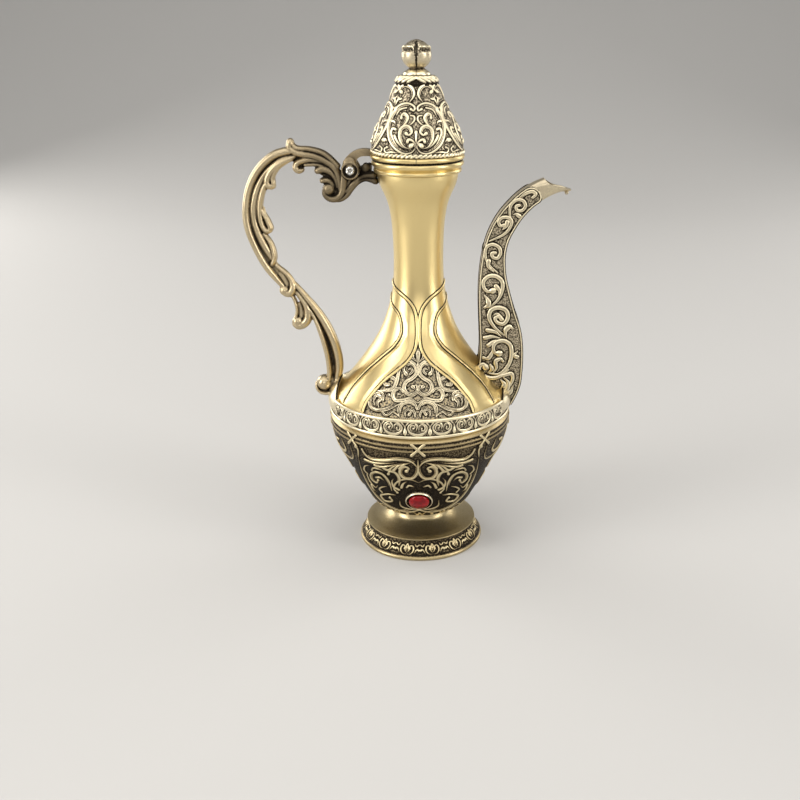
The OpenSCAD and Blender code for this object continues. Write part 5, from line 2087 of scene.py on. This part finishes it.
@dataclass
class Hinge:
    """Rivet through the ears, and the lid's strap that turns on it.

    `over` and `under` are x and z along the strap's top, from the knuckle to the lid, and back
    along its underside. `ear_out` is how far from the middle the ears' outer faces are.
    """

    ear_out: float = 5.1
    knuckle: float = 3.45
    bore: float = 1.35
    half: float = 1.95
    over: tuple[Flat, ...] = (
        (-32.9, 185.6), (-33.1, 187.6), (-32.2, 190), (-29.6, 192.4), (-26.4, 193.8),
        (-23.4, 194.1), (-20.6, 193.7),
    )
    under: tuple[Flat, ...] = (
        (-20.6, 190.8), (-23, 190.9), (-25.6, 190.6), (-27.4, 189.2), (-27.6, 187.4),
        (-27.7, 185.6),
    )

    def rivet(self, steel: Material) -> None:
        """Makes the rivet with a rosette at each end.

        Args:
            steel: its finish.
        """
        end = self.ear_out - 0.75
        half = [(0, end + 0.95), (0.35, end + 0.95), (0.6, end + 0.6), (0.85, end + 0.6),
            (1.15, end + 0.9), (1.6, end + 0.85), (2.0, end + 0.55), (2.2, end + 0.05),
            (1.3, end - 0.02)]
        outline = half + [(r, -y) for r, y in half[::-1]]
        thing = spun("hinge_pin", outline, 96, False)
        points = coordinates(thing)
        reach = np.hypot(points[:, 0], points[:, 1])
        angle = np.arctan2(points[:, 1], points[:, 0])
        petal = smoothstep(reach, 1.0, 1.5) * (np.abs(points[:, 2]) > end)
        points[:, 2] -= np.sign(points[:, 2]) * 0.22 * petal * (0.5 + 0.5 * np.cos(6 * angle))
        set_coordinates(thing, points)
        set_patina_and_shade(thing, 0.7 * fade(np.abs(reach - 0.72), 0.08, 0.2)
                   + 0.5 * smoothstep(reach, 1.9, 2.15))
        lay_across(thing)
        finish_piece(thing, Body.POT, Slot.STEEL, steel, "hinge_rivet", angle=50)

    def strap(self, finish: Material) -> None:
        """Makes the arched strap from the lid to the knuckle.

        Args:
            finish: its brass.
        """
        end = arc(PIN, self.knuckle, np.arange(-12, -170, -12))
        ring = np.vstack([through(self.over, 0.6), through(self.under, 0.6), end])
        bore = spun("bore", [(0, -4), (self.bore, -4), (self.bore, 4), (0, 4)], 64, False)
        lay_across(bore)
        thing = cut(slab("lid_arm", ring, self.half), bore)
        apply(thing, "BEVEL", width=0.45, segments=3, limit_method="ANGLE",
              angle_limit=math.radians(50))
        points = coordinates(thing)
        near_lid = smoothstep(points[:, 0], -25, -21)
        set_patina_and_shade(thing, 0.25 + 0.25 * near_lid + 0.3 * fade(points[:, 2], 187, 190))
        finish_piece(thing, Body.LID, Slot.HANDLE, finish, "lid_strap", angle=45)

    def build(self, steel: Material, finish: Material) -> None:
        """Makes rivet and strap."""
        self.rivet(steel)
        self.strap(finish)


# ---- studio


@dataclass
class Studio:
    """Camera, paper sweep and soft lamps."""

    lens: float = 44.88
    eye: Triple = (12.4, -459.0, 249.3)
    pitch: float = 21.02
    shift: float = -0.05625
    room: float = 0.6
    warm: Triple = (1.0, 0.975, 0.94)
    lamps: tuple[tuple[str, Triple, float, Flat, float], ...] = (
        ("left_softbox", (-1.1, -0.5, 0.5), 0.12, (0.5, 0.95), 9.5),
        ("right_softbox", (1.15, -0.5, 0.5), 0.12, (0.35, 0.95), 6.5),
        ("top_softbox", (0.0, -0.3, 1.4), 0.1, (2.4, 1.9), 17),
        ("front_softbox", (0.1, -1.5, 0.62), 0.1, (1.3, 0.5), 5),
        ("rear_left_softbox", (-0.95, 0.75, 0.42), 0.1, (0.55, 0.8), 6),
        ("rear_right_softbox", (1.0, 0.75, 0.42), 0.1, (0.5, 0.8), 3.5),
    )

    def camera(self) -> None:
        """Places the camera."""
        data = bpy.data.cameras.new("camera")
        data.lens = self.lens
        data.sensor_width = 36
        data.shift_x = self.shift
        data.clip_start = 0.01
        data.clip_end = 50
        thing = bpy.data.objects.new("camera", data)
        thing.location = Vector(self.eye) * MM
        thing.rotation_euler = (math.radians(90 - self.pitch), 0, 0)
        bpy.context.scene.collection.objects.link(thing)
        bpy.context.scene.camera = thing

    def paper(self, finish: Material) -> None:
        """Lays a floor that sweeps up into a wall.

        Args:
            finish: its paper.
        """
        rise = arc((900, 1500), 1500, np.arange(-90, 1, 6))
        line = [(-4000, 0)] + rise + [(2400, 5000)]
        points = [(x, y, z) for y, z in line for x in (-6000, 6000)]
        faces = [(2 * i, 2 * i + 1, 2 * i + 3, 2 * i + 2) for i in range(len(line) - 1)]
        sweep = from_data("paper_sweep", points, faces=faces)
        sweep.data.transform(Matrix.Scale(MM, 4))
        sweep.data.materials.append(finish)
        alone(sweep)
        bpy.ops.object.shade_smooth()

    def lamp(self, name: str, place: Triple, low: float, size: Flat, power: float) -> None:
        """Hangs one softbox.

        Args:
            name: its name.
            place: its middle, in metres.
            low: height on the axis that it faces, in metres.
            size: width and height in metres.
            power: power in watts.
        """
        data = bpy.data.lights.new(name, "AREA")
        data.shape = "RECTANGLE"
        data.size, data.size_y = size
        data.energy = power
        data.color = self.warm
        thing = bpy.data.objects.new(name, data)
        thing.location = place
        look = Vector((0, 0, low)) - Vector(place)
        thing.rotation_euler = look.to_track_quat("-Z", "Y").to_euler()
        bpy.context.scene.collection.objects.link(thing)

    def world(self) -> None:
        """Sets the room's soft light: bright overhead, dimmer at eye level."""
        world = bpy.data.worlds.new("room")
        bpy.context.scene.world = world
        world.use_nodes = True
        nodes, link = world.node_tree.nodes, world.node_tree.links.new
        back = nodes["Background"]
        coord, split, ramp = (nodes.new("ShaderNode" + kind)
                              for kind in ("TexCoord", "SeparateXYZ", "ValToRGB"))
        link(coord.outputs["Generated"], split.inputs[0])
        link(split.outputs["Z"], ramp.inputs[0])
        link(ramp.outputs[0], back.inputs[0])
        low, high = ramp.color_ramp.elements
        low.position, low.color = 0.0, (0.22, 0.215, 0.205, 1)
        high.position, high.color = 0.9, (0.75, 0.74, 0.72, 1)
        back.inputs[1].default_value = self.room

    def build(self, paper: Material) -> None:
        """Sets up the whole studio.

        Args:
            paper: finish of the sweep.
        """
        self.camera()
        self.paper(paper)
        self.world()
        for lamp in self.lamps:
            self.lamp(*lamp)
        bpy.context.scene.view_settings.view_transform = "Standard"


# ---- assembly


def dress(names: Sequence[str], finish: Material) -> None:
    """Gives CAD pieces that stay their finish.

    Args:
        names: the nodes.
        finish: the material.
    """
    for name in names:
        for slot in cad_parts[name].material_slots:
            slot.material = finish
        LOG.info("%s: kept, with %s", name, finish.name)


def main() -> None:
    """Builds the pot from the foot up."""
    logging.basicConfig(level=logging.INFO, format="%(name)s %(message)s")
    plain = Brass("satin_brass", turning=0.12, stipple=0.9, gloss=0.33, grit=0.08,
                  bright=(0.78, 0.62, 0.3, 1), warm=(0.56, 0.44, 0.22, 1),
                  brown=(0.33, 0.285, 0.205, 1)).make()
    relief = Brass("chased_brass", stipple=0.9, gloss=0.3).make()
    dark = Brass("blackened_brass", stipple=0.7, gloss=0.3, age=0.1,
                 bright=(0.76, 0.66, 0.42, 1), warm=(0.46, 0.36, 0.19, 1),
                 brown=(0.2, 0.155, 0.09, 1)).make()
    cast = Brass("cast_brass", stipple=0.0, gloss=0.3, age=0.06,
                 bright=(0.64, 0.53, 0.34, 1), warm=(0.36, 0.285, 0.175, 1),
                 brown=(0.17, 0.135, 0.085, 1)).make()
    steel = Brass("rivet_steel", bright=(0.62, 0.61, 0.58, 1), warm=(0.5, 0.49, 0.46, 1),
                  brown=(0.14, 0.13, 0.12, 1), gloss=0.24).make()
    glass = Ruby().make()
    Studio().build(Paper().make())
    Foot().build(dark)
    Bowl().build(dark)
    Stones().build(glass, relief)
    Belt().build(relief)
    ShoulderNeck().build(plain, relief)
    Collar().build(plain)
    Spout().build(relief)
    Handle().build(cast)
    Hinge().build(steel, cast)
    Lid().build(relief, plain)
    Finial().build(relief)
    dress(("base_plate", "lid_skirt"), plain)
    dress(("finial_screw",), steel)


if __name__ == "__main__":
    main()
